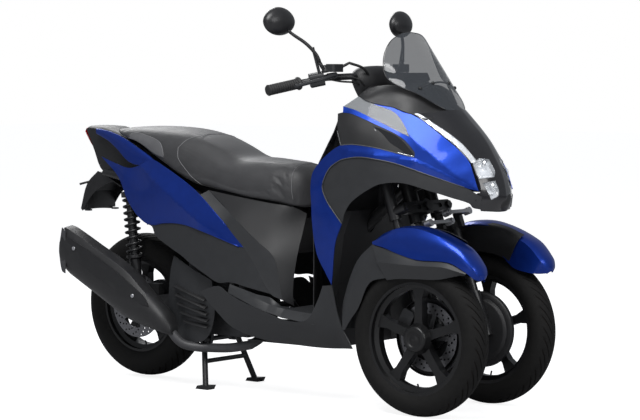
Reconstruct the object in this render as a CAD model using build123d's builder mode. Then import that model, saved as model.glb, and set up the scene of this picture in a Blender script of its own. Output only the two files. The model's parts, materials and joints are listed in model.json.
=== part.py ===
"""Leaning three-wheel scooter: two steered front wheels on a tilting parallelogram, one driven rear wheel.

Frame: millimetres, +X ahead, +Y to the rider's left, +Z up, the floor at Z = 0.
It stands parked on its centre stand, with the rear tyre just clear of the floor.
"""
import os
from math import cos, hypot, radians, sin

from build123d import *

os.makedirs("parts", exist_ok=True)

# ---------------------------------------------------------------- driving dimensions
WHEELBASE = 1350.0
FRONT_TRACK = 385.0
FRONT_TYRE_R = 250.0
FRONT_TYRE_W = 90.0
FRONT_BEAD_R = 177.8
FRONT_RIM_W = 60.0
REAR_TYRE_R = 256.0
REAR_TYRE_W = 130.0
REAR_BEAD_R = 165.1
REAR_RIM_W = 88.0
REAR_LIFT = 5.0
CASTER = 20.0
TRAIL = 68.0
ARM_HALF = 115.0          # lean axis to steering column
COLUMN_Y = ARM_HALF
LOWER_PIVOT_S = 681.0     # heights measured up the steering axis from the floor
UPPER_PIVOT_S = 809.0
HEAD_LOW_S = 640.0
HEAD_TOP_S = 850.0
FIT = 0.05                # radial play of a running fit
OPEN_FIT = 0.3            # radial play where a closed linkage is opened
WALL = 3.0                # moulded panel thickness
DISC_T = 4.0
FRONT_DISC_R = 110.0
REAR_DISC_R = 115.0
AXLE_R = 9.0

FRONT_X = WHEELBASE / 2
REAR_X = -WHEELBASE / 2
REAR_Z = REAR_TYRE_R + REAR_LIFT
SIN = sin(radians(CASTER))
COS = cos(radians(CASTER))
AXIS_FOOT_X = FRONT_X + TRAIL
SIDES = (("left", 1), ("right", -1))


def steer_point(s, a=0.0, y=0.0):
    """Point s up the steering axis, a ahead of it."""
    return (AXIS_FOOT_X - s * SIN + a * COS, y, s * COS + a * SIN)


def steer_plane(s, a=0.0, y=0.0):
    """Plane square to the steering axis: local x is ahead, local y is left."""
    return Plane(origin=steer_point(s, a, y), x_dir=(COS, 0, SIN), z_dir=(-SIN, 0, COS))


def lean_plane(a, s=0.0, y=0.0):
    """Plane square to the lean axis: local x is left, local y runs up the steering axis."""
    return Plane(origin=steer_point(s, a, y), x_dir=(0, 1, 0), z_dir=(COS, 0, SIN))


def section_at(x, y, z):
    """Radial plane through an axle: local x is across (left), local y is the radius."""
    return Plane(origin=(x, y, z), x_dir=(0, 1, 0), z_dir=(1, 0, 0))


def rod(start, end, radius, mode=Mode.ADD):
    """Round bar between two points, added to the part being built."""
    start, end = Vector(*start), Vector(*end)
    run = end - start
    with BuildSketch(Plane(origin=start, z_dir=run.normalized())) as profile:
        Circle(radius)
    extrude(profile.sketch, amount=run.length, mode=mode)


def tube(points, bend, radius):
    """Round bar bent through points, with arcs of one radius at the corners."""
    with BuildLine() as path:
        FilletPolyline(*points, radius=bend)
    with BuildSketch(path.line ^ 0) as profile:
        Circle(radius)
    sweep(profile.sketch, path=path.line)


def block(x0, x1, y0, y1, z0, z1, mode=Mode.ADD):
    """Square block between two corners."""
    with BuildSketch(Plane.XY.offset(z0)) as profile:
        with Locations(((x0 + x1) / 2, (y0 + y1) / 2)):
            Rectangle(x1 - x0, y1 - y0)
    extrude(profile.sketch, amount=z1 - z0, mode=mode)


def slab(outline, y0, y1, mode=Mode.ADD):
    """Side outline of (x, z) corners, as thick as y0 to y1."""
    low, high = min(y0, y1), max(y0, y1)
    with BuildSketch(Plane(origin=(0, high, 0), x_dir=(1, 0, 0), z_dir=(0, -1, 0))) as profile:
        with BuildLine():
            Polyline(*outline, close=True)
        make_face()
    extrude(profile.sketch, amount=high - low, mode=mode)


def shell_line(line, wall):
    """Closed loop around an open line: the line, then itself moved in by the wall."""
    inner = []
    for index, (u, v) in enumerate(line):
        before = line[max(index - 1, 0)]
        after = line[min(index + 1, len(line) - 1)]
        du, dv = after[0] - before[0], after[1] - before[1]
        size = hypot(du, dv)
        inner.append((u + wall * dv / size, v - wall * du / size))
    return list(line) + inner[::-1]


def skin_x(rows, wall=WALL):
    """Right-hand panel through upright sections. A row is x, then (half width, z) from low to high."""
    sections = []
    for x, *line in rows:
        loop = shell_line(line, -wall)
        with BuildSketch(Plane(origin=(x, 0, 0), x_dir=(0, -1, 0), z_dir=(-1, 0, 0))) as profile:
            with BuildLine():
                Polyline(*loop, close=True)
            make_face()
        sections.append(profile.sketch)
    for first, second in zip(sections, sections[1:]):
        loft([first, second], ruled=True)


def skin_z(rows, wall=WALL):
    """Right-hand panel through level sections. A row is z, then (x, half width) from rear to front."""
    sections = []
    for z, *line in rows:
        loop = shell_line([(x, -half) for x, half in line], -wall)
        with BuildSketch(Plane.XY.offset(z)) as profile:
            with BuildLine():
                Polyline(*loop, close=True)
            make_face()
        sections.append(profile.sketch)
    for first, second in zip(sections, sections[1:]):
        loft([first, second], ruled=True)


def both_sides():
    """Adds the left-hand twin of what has been built on the right."""
    mirror(about=Plane.XZ)


# ---------------------------------------------------------------- wheels
RIM_LIP = 12.0            # flange height over the bead seat
RIM_WELL = 15.0           # drop of the well under the bead seat
RIM_SKIN = 6.0
SPOKES = 5
HUB_R = 32.0
HUB_CAP = 12.0
WHEELS = (
    # name, axle x, axle y, axle z, tyre radius, tyre width, bead radius, rim width, disc side,
    # disc face, disc radius
    ("front_left", FRONT_X, FRONT_TRACK / 2, FRONT_TYRE_R, FRONT_TYRE_R, FRONT_TYRE_W,
     FRONT_BEAD_R, FRONT_RIM_W, -1, 42.0, FRONT_DISC_R),
    ("front_right", FRONT_X, -FRONT_TRACK / 2, FRONT_TYRE_R, FRONT_TYRE_R, FRONT_TYRE_W,
     FRONT_BEAD_R, FRONT_RIM_W, 1, 42.0, FRONT_DISC_R),
    ("rear", REAR_X, 0.0, REAR_Z, REAR_TYRE_R, REAR_TYRE_W,
     REAR_BEAD_R, REAR_RIM_W, -1, 56.0, REAR_DISC_R),
)
SPOKE_IN = -16.0          # inner and outer faces of the spokes, from the wheel's middle, away from the disc
SPOKE_OUT = 14.0
REAR_HUB_OUT = 46.0


def wheel_axis(x, y, z):
    return Axis((x, y, z), (0, 1, 0))


for name, ax, ay, az, tyre_r, tyre_w, bead_r, rim_w, side, face, disc_r in WHEELS:
    half, lip = rim_w / 2, bead_r + RIM_LIP
    shoulder_r = tyre_r - 0.33 * (tyre_r - bead_r)
    with BuildPart() as tyre:
        with BuildSketch(section_at(ax, ay, az)):
            with BuildLine():
                crown_left, crown_right = (-tyre_w / 2, shoulder_r), (tyre_w / 2, shoulder_r)
                ThreePointArc(crown_left, (0, tyre_r), crown_right)
                ThreePointArc(crown_right, (tyre_w / 2 - 1, (shoulder_r + lip) / 2 + 4), (half, lip))
                Line((half, lip), (half, bead_r))
                Line((half, bead_r), (-half, bead_r))
                Line((-half, bead_r), (-half, lip))
                ThreePointArc((-half, lip), (1 - tyre_w / 2, (shoulder_r + lip) / 2 + 4), crown_left)
            make_face()
        revolve(axis=wheel_axis(ax, ay, az))
    tyre.part.label = f"{name}_tyre"
    export_step(tyre.part, f"parts/{name}_tyre.step")

    hub_in = face
    hub_out = REAR_HUB_OUT if name == "rear" else HUB_R
    with BuildPart() as rim:
        with BuildSketch(section_at(ax, ay, az)):
            with BuildLine():
                Polyline((-half - 4, lip), (-half, lip), (-half, bead_r), (-half + 10, bead_r),
                         (-half + 16, bead_r - RIM_WELL), (half - 16, bead_r - RIM_WELL),
                         (half - 10, bead_r), (half, bead_r), (half, lip), (half + 4, lip),
                         (half + 4, bead_r - RIM_SKIN), (half - 12, bead_r - RIM_SKIN),
                         (half - 18, bead_r - RIM_WELL - RIM_SKIN),
                         (18 - half, bead_r - RIM_WELL - RIM_SKIN),
                         (12 - half, bead_r - RIM_SKIN), (-half - 4, bead_r - RIM_SKIN), close=True)
            make_face()
            hub = sorted((side * hub_in, -side * hub_out))
            with BuildLine():
                Polyline((hub[0], AXLE_R + FIT), (hub[1], AXLE_R + FIT), (hub[1], HUB_R),
                         (hub[0], HUB_R), close=True)
            make_face()
        revolve(axis=wheel_axis(ax, ay, az))
        spoke_y = sorted((ay - side * SPOKE_IN, ay - side * SPOKE_OUT))
        with BuildSketch(Plane(origin=(ax, spoke_y[1], az), x_dir=(1, 0, 0), z_dir=(0, -1, 0))):
            with PolarLocations(0, SPOKES, start_angle=18):
                Polygon((HUB_R - 6, -20), (60, -15), (bead_r - 50, -14), (bead_r - RIM_WELL - 2, -24),
                        (bead_r - RIM_WELL - 2, 24), (bead_r - 50, 14), (60, 15), (HUB_R - 6, 20),
                        align=None)
        extrude(amount=spoke_y[1] - spoke_y[0])
        if name != "rear":
            cap_y = ay - side * hub_out
            with BuildSketch(Plane(origin=(ax, cap_y, az), x_dir=(1, 0, 0), z_dir=(0, -side, 0))):
                Circle(HUB_R - 4)
            extrude(amount=-HUB_CAP)
    rim.part.label = f"{name}_rim"
    export_step(rim.part, f"parts/{name}_rim.step")

    disc_y = ay + side * face
    with BuildPart() as disc:
        with BuildSketch(Plane(origin=(ax, disc_y, az), x_dir=(1, 0, 0), z_dir=(0, side, 0))):
            Circle(disc_r)
            Circle(disc_r - 34, mode=Mode.SUBTRACT)
            with PolarLocations(disc_r / 2 + 2, SPOKES):
                Rectangle(disc_r - 44, 16)
            Circle(HUB_R - 2)
            Circle(AXLE_R + 8, mode=Mode.SUBTRACT)
            for ring_r, turn in ((disc_r - 9, 0), (disc_r - 18, 7), (disc_r - 27, 14)):
                with PolarLocations(ring_r, 18, start_angle=turn):
                    Circle(3.5, mode=Mode.SUBTRACT)
        extrude(amount=DISC_T)
    disc.part.label = f"{name}_disc"
    export_step(disc.part, f"parts/{name}_disc.step")

# ---------------------------------------------------------------- leaning linkage and forks
PIN_R = 9.0
CENTRE_PIN_R = 11.0
ARM_BACK_A = 34.0
ARM_FRONT_A = 56.0
ARM_SIDE_GAP = 0.5
ARM_H = 36.0
COLUMN_R = 20.0
KINGPIN_R = 12.0
COLUMN_LOW_S = 655.0
COLUMN_TOP_S = 835.0
BALL_R = 8.0
BALL_A = 110.0
CALIPER_TURN = 152.0      # degrees round the axle from straight ahead
CALIPER_PLAY = 1.5
BALL_S = {"left": 636.0, "right": 606.0}
BRACKET_A = 20.0
FORK_BRIDGE_LOW_S = 594.0
FORK_BRIDGE_TOP_S = 618.0    # under the lower arm at full lean
FORK_TUBE_R = 15.0
FORK_SLIDER_R = 20.0
FORK_SPREAD = 38.0
FORK_Y = 112.0
AXLE_A = (FRONT_X - AXIS_FOOT_X) * COS + FRONT_TYRE_R * SIN
AXLE_S = -(FRONT_X - AXIS_FOOT_X) * SIN + FRONT_TYRE_R * COS
FORK_LOW_S = AXLE_S - 30.0

for name, pivot_s, outer_play in (("upper_arm", UPPER_PIVOT_S, FIT),
                                  ("lower_arm", LOWER_PIVOT_S, OPEN_FIT)):
    with BuildPart() as arm:
        with BuildSketch(lean_plane(ARM_BACK_A, pivot_s)):
            SlotCenterToCenter(2 * ARM_HALF, ARM_H)
            Circle(ARM_H / 2 + 8)
            Circle(CENTRE_PIN_R + FIT, mode=Mode.SUBTRACT)
            with Locations((-ARM_HALF, 0), (ARM_HALF, 0)):
                Circle(PIN_R + outer_play, mode=Mode.SUBTRACT)
        extrude(amount=ARM_FRONT_A - ARM_BACK_A)
        with BuildSketch(lean_plane(ARM_FRONT_A - 6, pivot_s)):
            with Locations((-ARM_HALF / 2, 0), (ARM_HALF / 2, 0)):
                SlotCenterToCenter(28, 16)
        extrude(amount=6, mode=Mode.SUBTRACT)
    arm.part.label = name
    export_step(arm.part, f"parts/{name}.step")

for name, turn in SIDES:
    y = turn * COLUMN_Y
    with BuildPart() as column:
        with BuildSketch(steer_plane(COLUMN_LOW_S, 0, y)):
            Circle(COLUMN_R)
        extrude(amount=COLUMN_TOP_S - COLUMN_LOW_S)
        for pivot_s in (LOWER_PIVOT_S, UPPER_PIVOT_S):
            with BuildSketch(lean_plane(0, pivot_s, y)):
                Circle(COLUMN_R - 3)
            extrude(amount=ARM_BACK_A - ARM_SIDE_GAP)
            with BuildSketch(lean_plane(0, pivot_s, y)):
                Circle(PIN_R)
            extrude(amount=ARM_FRONT_A + ARM_SIDE_GAP)
            with BuildSketch(lean_plane(ARM_FRONT_A + ARM_SIDE_GAP, pivot_s, y)):
                RegularPolygon(PIN_R + 4, 6)
            extrude(amount=7)
        with BuildSketch(steer_plane(COLUMN_LOW_S, 0, y)):
            Circle(KINGPIN_R + FIT)
        extrude(amount=COLUMN_TOP_S - COLUMN_LOW_S, mode=Mode.SUBTRACT)
    column.part.label = f"column_{name}"
    export_step(column.part, f"parts/column_{name}.step")

    fork_y = turn * FORK_Y
    with BuildPart() as fork:
        with BuildSketch(steer_plane(FORK_BRIDGE_TOP_S - 10, 0, y)):
            Circle(KINGPIN_R)
        extrude(amount=COLUMN_TOP_S - FORK_BRIDGE_TOP_S + 20)
        with BuildSketch(steer_plane(COLUMN_TOP_S + 2, 0, y)):
            Circle(KINGPIN_R + 6)
        extrude(amount=9)
        with BuildSketch(steer_plane(FORK_BRIDGE_LOW_S, 0, y)):
            with Locations((AXLE_A - 8, 0)):
                RectangleRounded(2 * FORK_SPREAD + 52, 44, 18)
        extrude(amount=FORK_BRIDGE_TOP_S - FORK_BRIDGE_LOW_S)
        for a in (AXLE_A - FORK_SPREAD, AXLE_A + FORK_SPREAD):
            with BuildSketch(steer_plane(AXLE_S + 60, a, fork_y)):
                Circle(FORK_TUBE_R)
            extrude(amount=FORK_BRIDGE_LOW_S - AXLE_S - 50)
            with BuildSketch(steer_plane(FORK_LOW_S, a, fork_y)):
                Circle(FORK_SLIDER_R)
            extrude(amount=150)
        with BuildSketch(steer_plane(FORK_BRIDGE_LOW_S, 0, y)):
            with Locations((AXLE_A + FORK_SPREAD + BRACKET_A, 0)):
                Rectangle(24, 20)
        extrude(amount=BALL_S[name] + 7 - FORK_BRIDGE_LOW_S)
        rod(steer_point(BALL_S[name], AXLE_A + FORK_SPREAD + BRACKET_A, y),
            steer_point(BALL_S[name], BALL_A, y), 4)
        with Locations(Location(steer_point(BALL_S[name], BALL_A, y))):
            Sphere(BALL_R)
    fork.part.label = f"fork_{name}"
    export_step(fork.part, f"parts/fork_{name}.step")

    carrier_out = turn * (FRONT_TRACK / 2 - 56)
    with BuildPart() as carrier:
        low, high = sorted((turn * (FORK_Y + 8), carrier_out))
        with BuildSketch(Plane(origin=(FRONT_X, high, FRONT_TYRE_R), x_dir=(COS, 0, SIN),
                               z_dir=(0, -1, 0))):
            RectangleRounded(2 * FORK_SPREAD + 36, 64, 22)
            Circle(44)
        extrude(amount=high - low)
        for a in (AXLE_A - FORK_SPREAD, AXLE_A + FORK_SPREAD):
            with BuildSketch(steer_plane(FORK_LOW_S - 1, a, fork_y)):
                Circle(FORK_SLIDER_R)
            extrude(amount=152, mode=Mode.SUBTRACT)
        axle_end = turn * (FRONT_TRACK / 2 + HUB_R - HUB_CAP - 2)
        rod((FRONT_X, carrier_out - turn * 4, FRONT_TYRE_R), (FRONT_X, axle_end, FRONT_TYRE_R), AXLE_R)
        disc_in = FRONT_TRACK / 2 - 42 - DISC_T
        low, high = sorted((turn * (disc_in - 16), turn * (disc_in + DISC_T + 14)))
        with BuildSketch(Plane(origin=(FRONT_X, high, FRONT_TYRE_R), x_dir=(1, 0, 0), z_dir=(0, -1, 0))):
            with PolarLocations(96, 1, start_angle=CALIPER_TURN):
                RectangleRounded(48, 84, 12)
        extrude(amount=high - low)
        slot_low, slot_high = sorted((turn * (disc_in - CALIPER_PLAY),
                                      turn * (disc_in + DISC_T + CALIPER_PLAY)))
        with BuildSketch(Plane(origin=(FRONT_X, slot_high, FRONT_TYRE_R), x_dir=(1, 0, 0),
                               z_dir=(0, -1, 0))):
            Circle(FRONT_DISC_R + 2)
            Circle(AXLE_R + 2, mode=Mode.SUBTRACT)
        extrude(amount=slot_high - slot_low, mode=Mode.SUBTRACT)
        block(FRONT_X - 96, FRONT_X - 30, *sorted((carrier_out - turn * 10, turn * (disc_in - 15))),
              FRONT_TYRE_R + 26, FRONT_TYRE_R + 62)
        add(fork.part, mode=Mode.SUBTRACT)
    carrier.part.label = f"hub_carrier_{name}"
    export_step(carrier.part, f"parts/hub_carrier_{name}.step")

# ---------------------------------------------------------------- steering stem, pitman and tie rods
STEM_R = 14.0
PITMAN_LOW_S = 590.0
PITMAN_T = 12.0
STEM_TOP_S = 985.0
BAR_R = 11.0
BAR_POINTS = ((352, 0, 1052), (336, 110, 1080), (290, 190, 1076), (234, 250, 1059), (196, 372, 1035))
GRIP_R = 17.0
JOURNAL_R = 5.0
CUP_R = 12.0
CUP_A = 122.0
ROD_A0 = 122.5
ROD_A1 = 133.0

with BuildPart() as handlebar:
    with BuildSketch(steer_plane(PITMAN_LOW_S, 0)):
        Circle(STEM_R)
    extrude(amount=STEM_TOP_S - PITMAN_LOW_S)
    with BuildSketch(steer_plane(PITMAN_LOW_S, 0)):
        Circle(STEM_R + 8)
        with Locations((BALL_A / 2 - 8, 0)):
            Rectangle(BALL_A - 16, 22)
    extrude(amount=PITMAN_T)
    with BuildSketch(steer_plane(PITMAN_LOW_S, BALL_A - 20)):
        Rectangle(14, 16)
    extrude(amount=BALL_S["left"] - PITMAN_LOW_S + 8)
    for s in BALL_S.values():
        rod(steer_point(s, BALL_A - 16), steer_point(s, BALL_A), 4)
        with Locations(Location(steer_point(s, BALL_A))):
            Sphere(BALL_R)
    with BuildSketch(steer_plane(STEM_TOP_S - 20, 0)):
        RectangleRounded(50, 70, 12)
    extrude(amount=150)
    tube([(x, y, z) for x, y, z in BAR_POINTS], 24, BAR_R)
    tube([(x, -y, z) for x, y, z in BAR_POINTS], 24, BAR_R)
handlebar.part.label = "handlebar"
export_step(handlebar.part, "parts/handlebar.step")

GRIP_START, GRIP_END = Vector(*BAR_POINTS[-2]), Vector(*BAR_POINTS[-1])
GRIP_DIR = (GRIP_END - GRIP_START).normalized()
with BuildPart() as grips:
    with BuildSketch(Plane(origin=GRIP_START + GRIP_DIR * 12, z_dir=GRIP_DIR)):
        Circle(GRIP_R)
        Circle(BAR_R + FIT, mode=Mode.SUBTRACT)
    extrude(amount=(GRIP_END - GRIP_START).length - 10)
    both_sides()
grips.part.label = "grips"
export_step(grips.part, "parts/grips.step")

for name, turn in SIDES:
    s = BALL_S[name]
    with BuildPart() as rod_end:
        with BuildSketch(lean_plane(BALL_A, s)):
            Circle(CUP_R)
        extrude(amount=CUP_A - BALL_A)
        with Locations(Location(steer_point(s, BALL_A))):
            Sphere(BALL_R + OPEN_FIT, mode=Mode.SUBTRACT)
        with BuildSketch(lean_plane(CUP_A, s)):
            Circle(JOURNAL_R)
        extrude(amount=ROD_A1 - CUP_A + 1)
        with BuildSketch(lean_plane(ROD_A1 + 0.5, s)):
            Circle(JOURNAL_R + 3)
        extrude(amount=4)
    rod_end.part.label = f"rod_end_{name}"
    export_step(rod_end.part, f"parts/rod_end_{name}.step")

    with BuildPart() as tie:
        with BuildSketch(lean_plane(ROD_A0, s)):
            Circle(CUP_R - 1)
            with Locations((turn * ARM_HALF / 2, 0)):
                Rectangle(ARM_HALF, 11)
        extrude(amount=ROD_A1 - ROD_A0)
        with BuildSketch(lean_plane(BALL_A, s, turn * ARM_HALF)):
            Circle(CUP_R)
        extrude(amount=ROD_A1 - BALL_A)
        with Locations(Location(steer_point(s, BALL_A, turn * ARM_HALF))):
            Sphere(BALL_R + OPEN_FIT, mode=Mode.SUBTRACT)
        with BuildSketch(lean_plane(ROD_A0 - 1, s)):
            Circle(JOURNAL_R + FIT)
        extrude(amount=ROD_A1 - ROD_A0 + 2, mode=Mode.SUBTRACT)
    tie.part.label = f"tie_rod_{name}"
    export_step(tie.part, f"parts/tie_rod_{name}.step")

# ---------------------------------------------------------------- main frame
HEAD_R = 25.0
BOSS_R = 18.0
DOWN_TUBE_R = 20.0
DOWN_TUBE_PATH = ((470, 0, 712), (285, 0, 560), (262, 0, 240))
TUBE_PLAY = 2.0
RAIL_R = 14.0
RAIL_POINTS = ((262, 118, 250), (-60, 118, 250), (-150, 120, 330), (-250, 120, 600),
               (-330, 118, 672), (-480, 114, 692), (-800, 90, 735))
SHOCK_TOP = (-655.0, 118.0, 684.0)
SHOCK_LOW = (-620.0, 118.0, 358.0)
SHOCK_PIN_R = 6.0
EYE_IN_Y = 104.0
EYE_OUT_Y = 131.0
HANGER_X = -100.0
HANGER_Z = 290.0
HANGER_R = 12.0
SIDE_PIVOT = (-95.0, 170.0, 225.0)
SIDE_AXIS = Vector(-0.14, 1, 0.15).normalized()

with BuildPart() as main_frame:
    with BuildSketch(steer_plane(HEAD_LOW_S)):
        Circle(HEAD_R)
    extrude(amount=HEAD_TOP_S - HEAD_LOW_S)
    for pivot_s in (LOWER_PIVOT_S, UPPER_PIVOT_S):
        with BuildSketch(lean_plane(0, pivot_s)):
            Circle(BOSS_R)
        extrude(amount=ARM_BACK_A - ARM_SIDE_GAP)
        with BuildSketch(lean_plane(0, pivot_s)):
            Circle(CENTRE_PIN_R)
        extrude(amount=ARM_FRONT_A + ARM_SIDE_GAP)
        with BuildSketch(lean_plane(ARM_FRONT_A + ARM_SIDE_GAP, pivot_s)):
            RegularPolygon(CENTRE_PIN_R + 5, 6)
        extrude(amount=7)
    tube(DOWN_TUBE_PATH, 60, DOWN_TUBE_R)
    rod((262, -130, 250), (262, 130, 250), DOWN_TUBE_R - 2)
    for turn in (-1, 1):
        tube([(x, turn * y, z) for x, y, z in RAIL_POINTS], 45, RAIL_R)
        low, high = sorted((turn * 96, turn * (EYE_IN_Y - 1)))
        block(SHOCK_TOP[0] - 10, SHOCK_TOP[0] + 10, low, high, SHOCK_TOP[2] - 10, SHOCK_TOP[2] + 30)
        rod((SHOCK_TOP[0], turn * 97, SHOCK_TOP[2]), (SHOCK_TOP[0], turn * (EYE_OUT_Y + 1), SHOCK_TOP[2]),
            SHOCK_PIN_R)
    rod((HANGER_X, -125, HANGER_Z), (HANGER_X, 125, HANGER_Z), HANGER_R)
    rod((-200, -120, 469.6), (-200, 120, 469.6), 10)
    rod((-560, -100, 702), (-560, 100, 702), 10)
    rod((-640, -100, 723), (-640, 100, 723), 10)
    rod((-92, 118, 250), Vector(*SIDE_PIVOT) - SIDE_AXIS * 16, 12)
    rod(Vector(*SIDE_PIVOT) - SIDE_AXIS * 22, Vector(*SIDE_PIVOT) - SIDE_AXIS * 7.4, 13)
    with BuildSketch(steer_plane(HEAD_LOW_S - 5)):
        Circle(STEM_R + FIT)
    extrude(amount=HEAD_TOP_S - HEAD_LOW_S + 10, mode=Mode.SUBTRACT)
# ---------------------------------------------------------------- engine and rear drive
STAND_PIVOT = (-330.0, 165.0)
STAND_PIN_R = 9.0
LUG_IN = 58.0
LUG_OUT = 72.0
CASE_IN_Y = 75.0
CASE_OUT_Y = 165.0
ARM_IN_Y = 88.0
ARM_OUT_Y = 102.0

with BuildPart() as engine:
    block(-400, -132, -ARM_IN_Y, CASE_IN_Y - 3, 185, 440)
    slab(((-133, 270), (HANGER_X - HANGER_R - 0.5, 278), (HANGER_X - HANGER_R - 0.5, 302), (-133, 315)),
         -60, 60)
    for turn in (-1, 1):
        slab(((STAND_PIVOT[0] - 20, 186), (STAND_PIVOT[0] - 14, 151), (STAND_PIVOT[0] + 14, 151),
              (STAND_PIVOT[0] + 20, 186)), turn * LUG_IN, turn * LUG_OUT)
    rod((STAND_PIVOT[0], -90, STAND_PIVOT[1]), (STAND_PIVOT[0], 90, STAND_PIVOT[1]),
        STAND_PIN_R + FIT, Mode.SUBTRACT)
engine.part.label = "engine"
export_step(engine.part, "parts/engine.step")

with BuildPart() as drive_case:
    with BuildSketch(Plane(origin=(0, CASE_OUT_Y, 0), x_dir=(1, 0, 0), z_dir=(0, -1, 0))):
        with BuildLine():
            ThreePointArc((-250, 206), (-192, 268), (-250, 338))
            Line((-250, 338), (-670, 342))
            ThreePointArc((-670, 342), (-756, 268), (-680, 200))
            Line((-680, 200), (-250, 206))
        make_face()
    extrude(amount=CASE_OUT_Y - CASE_IN_Y)
    rod((REAR_X, -ARM_OUT_Y - 8, REAR_Z), (REAR_X, CASE_IN_Y + 5, REAR_Z), AXLE_R)
    rod((REAR_X, REAR_HUB_OUT + 0.5, REAR_Z), (REAR_X, CASE_IN_Y + 1, REAR_Z), 24)
    block(-400, -300, CASE_IN_Y - 3, CASE_IN_Y + 1, 215, 330)
    slab(((SHOCK_LOW[0] - 24, 336), (SHOCK_LOW[0] - 10, SHOCK_LOW[2] + 10),
          (SHOCK_LOW[0] + 10, SHOCK_LOW[2] + 10),
          (SHOCK_LOW[0] + 24, 336)), ARM_IN_Y, EYE_IN_Y - 1)
    block(SHOCK_LOW[0] - 30, SHOCK_LOW[0] + 30, EYE_IN_Y - 2, CASE_OUT_Y + 1, 338, 350, Mode.SUBTRACT)
    block(SHOCK_LOW[0] - 22, SHOCK_LOW[0] + 22, EYE_IN_Y - 1, EYE_OUT_Y + 1, 330, 350, Mode.SUBTRACT)
    rod((SHOCK_LOW[0], ARM_IN_Y + 4, SHOCK_LOW[2]), (SHOCK_LOW[0], EYE_OUT_Y + 1, SHOCK_LOW[2]),
        SHOCK_PIN_R)
drive_case.part.label = "drive_case"
export_step(drive_case.part, "parts/drive_case.step")

with BuildPart() as swing_arm:
    slab(((-378, 212), (-378, 330), (-600, 300), (SHOCK_LOW[0] + 18, 340),
          (SHOCK_LOW[0] + 12, SHOCK_LOW[2] + 14), (SHOCK_LOW[0] - 12, SHOCK_LOW[2] + 14),
          (SHOCK_LOW[0] - 22, 330), (-706, 285), (-706, 236), (-640, 222)),
         -ARM_OUT_Y, -ARM_IN_Y)
    rod((REAR_X, -ARM_IN_Y - 1, REAR_Z), (REAR_X, -(56 + DISC_T) - 0.5, REAR_Z), 18)
    rod((SHOCK_LOW[0], -ARM_OUT_Y + 2, SHOCK_LOW[2]), (SHOCK_LOW[0], -EYE_OUT_Y - 1, SHOCK_LOW[2]),
        SHOCK_PIN_R)
    rod((REAR_X, -ARM_OUT_Y - 3, REAR_Z), (REAR_X, -56, REAR_Z), AXLE_R + FIT, Mode.SUBTRACT)
    block(REAR_X + 62, REAR_X + 112, -44 - 30, -48, REAR_Z + 28, REAR_Z + 84)
    block(REAR_X + 40, REAR_X + 114, -56 - DISC_T - 1.5, -56 + 1.5, REAR_Z - 10, REAR_Z + 90, Mode.SUBTRACT)
    block(REAR_X + 70, REAR_X + 104, -ARM_IN_Y - 1, -72, REAR_Z + 30, REAR_Z + 52)
    block(REAR_X + 113, REAR_X + 119, -74, -48, REAR_Z + 40, REAR_Z + 84)
    block(REAR_X + 104, REAR_X + 114, -74, -62.5, REAR_Z + 40, REAR_Z + 84)
    block(REAR_X + 104, REAR_X + 114, -53.5, -48, REAR_Z + 40, REAR_Z + 84)
swing_arm.part.label = "swing_arm"
export_step(swing_arm.part, "parts/swing_arm.step")

SPRING_R = 26.0
DAMPER_R = 18.0
SPRING_TURNS = 9
SPRING_LOW = 44.0         # from the lower eye to the lower perch
SPRING_TOP = 64.0         # from the upper eye to the upper perch
EYE_R = 14.0
with BuildPart() as shocks:
    top = Vector(SHOCK_TOP[0], -SHOCK_TOP[1], SHOCK_TOP[2])
    low = Vector(SHOCK_LOW[0], -SHOCK_LOW[1], SHOCK_LOW[2])
    along = (top - low).normalized()
    length = (top - low).length
    pitch = (length - SPRING_LOW - SPRING_TOP) / SPRING_TURNS
    profile = [(0, 8), (9, 8), (9, SPRING_LOW - 8), (SPRING_R + 2, SPRING_LOW - 6),
               (SPRING_R + 2, SPRING_LOW)]
    for coil in range(SPRING_TURNS):
        start = SPRING_LOW + coil * pitch
        profile += [(DAMPER_R, start + 0.1 * pitch), (DAMPER_R, start + 0.45 * pitch),
                    (SPRING_R, start + 0.6 * pitch), (SPRING_R, start + 0.9 * pitch)]
    profile += [(SPRING_R + 1, length - SPRING_TOP + 1), (SPRING_R + 1, length - SPRING_TOP + 10),
                (20, length - SPRING_TOP + 14), (20, length - 20), (9, length - 12), (0, length - 12)]
    with BuildSketch(Plane(origin=low, x_dir=(0, 1, 0), z_dir=Vector(0, 1, 0).cross(along))):
        with BuildLine():
            Polyline(*profile, close=True)
        make_face()
    revolve(axis=Axis(low, along))
    for end in (top, low):
        rod((end.X, -EYE_IN_Y, end.Z), (end.X, -EYE_OUT_Y, end.Z), EYE_R)
    for end in (top, low):
        rod((end.X, -EYE_IN_Y + 5, end.Z), (end.X, -EYE_OUT_Y - 5, end.Z), SHOCK_PIN_R + FIT, Mode.SUBTRACT)
    both_sides()
shocks.part.label = "rear_shocks"
export_step(shocks.part, "parts/rear_shocks.step")

MUFFLER_IN_Y = -152.0
MUFFLER_OUT_Y = -250.0
MUFFLER_OUTLINE = ((-865, 551), (-576, 412), (-406, 268), (-372, 196), (-420, 188), (-584, 232),
                   (-841, 366), (-891, 458))
with BuildPart() as exhaust:
    with BuildSketch(Plane(origin=(0, -178, 0), x_dir=(1, 0, 0), z_dir=(0, -1, 0))):
        with BuildLine():
            Polyline(*MUFFLER_OUTLINE, close=True)
        make_face()
    extrude(amount=46)
    extrude(exhaust.faces().sort_by(Axis.Y)[0], amount=-178 - 46 - MUFFLER_OUT_Y, taper=32)
    extrude(exhaust.faces().sort_by(Axis.Y)[-1], amount=MUFFLER_IN_Y + 178, taper=25)
    block(-560, -520, MUFFLER_IN_Y - 20, -ARM_OUT_Y - 0.5, 262, 300)
    rod((-878, -200, 472), (-886, -200, 476), 22)
    tube(((-131.8, -40, 212), (-84, -40, 212), (-84, -112, 164), (-264, -122, 143), (-350, -186, 150),
          (-410, -200, 225)), 20, 16)
exhaust.part.label = "exhaust"
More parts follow.
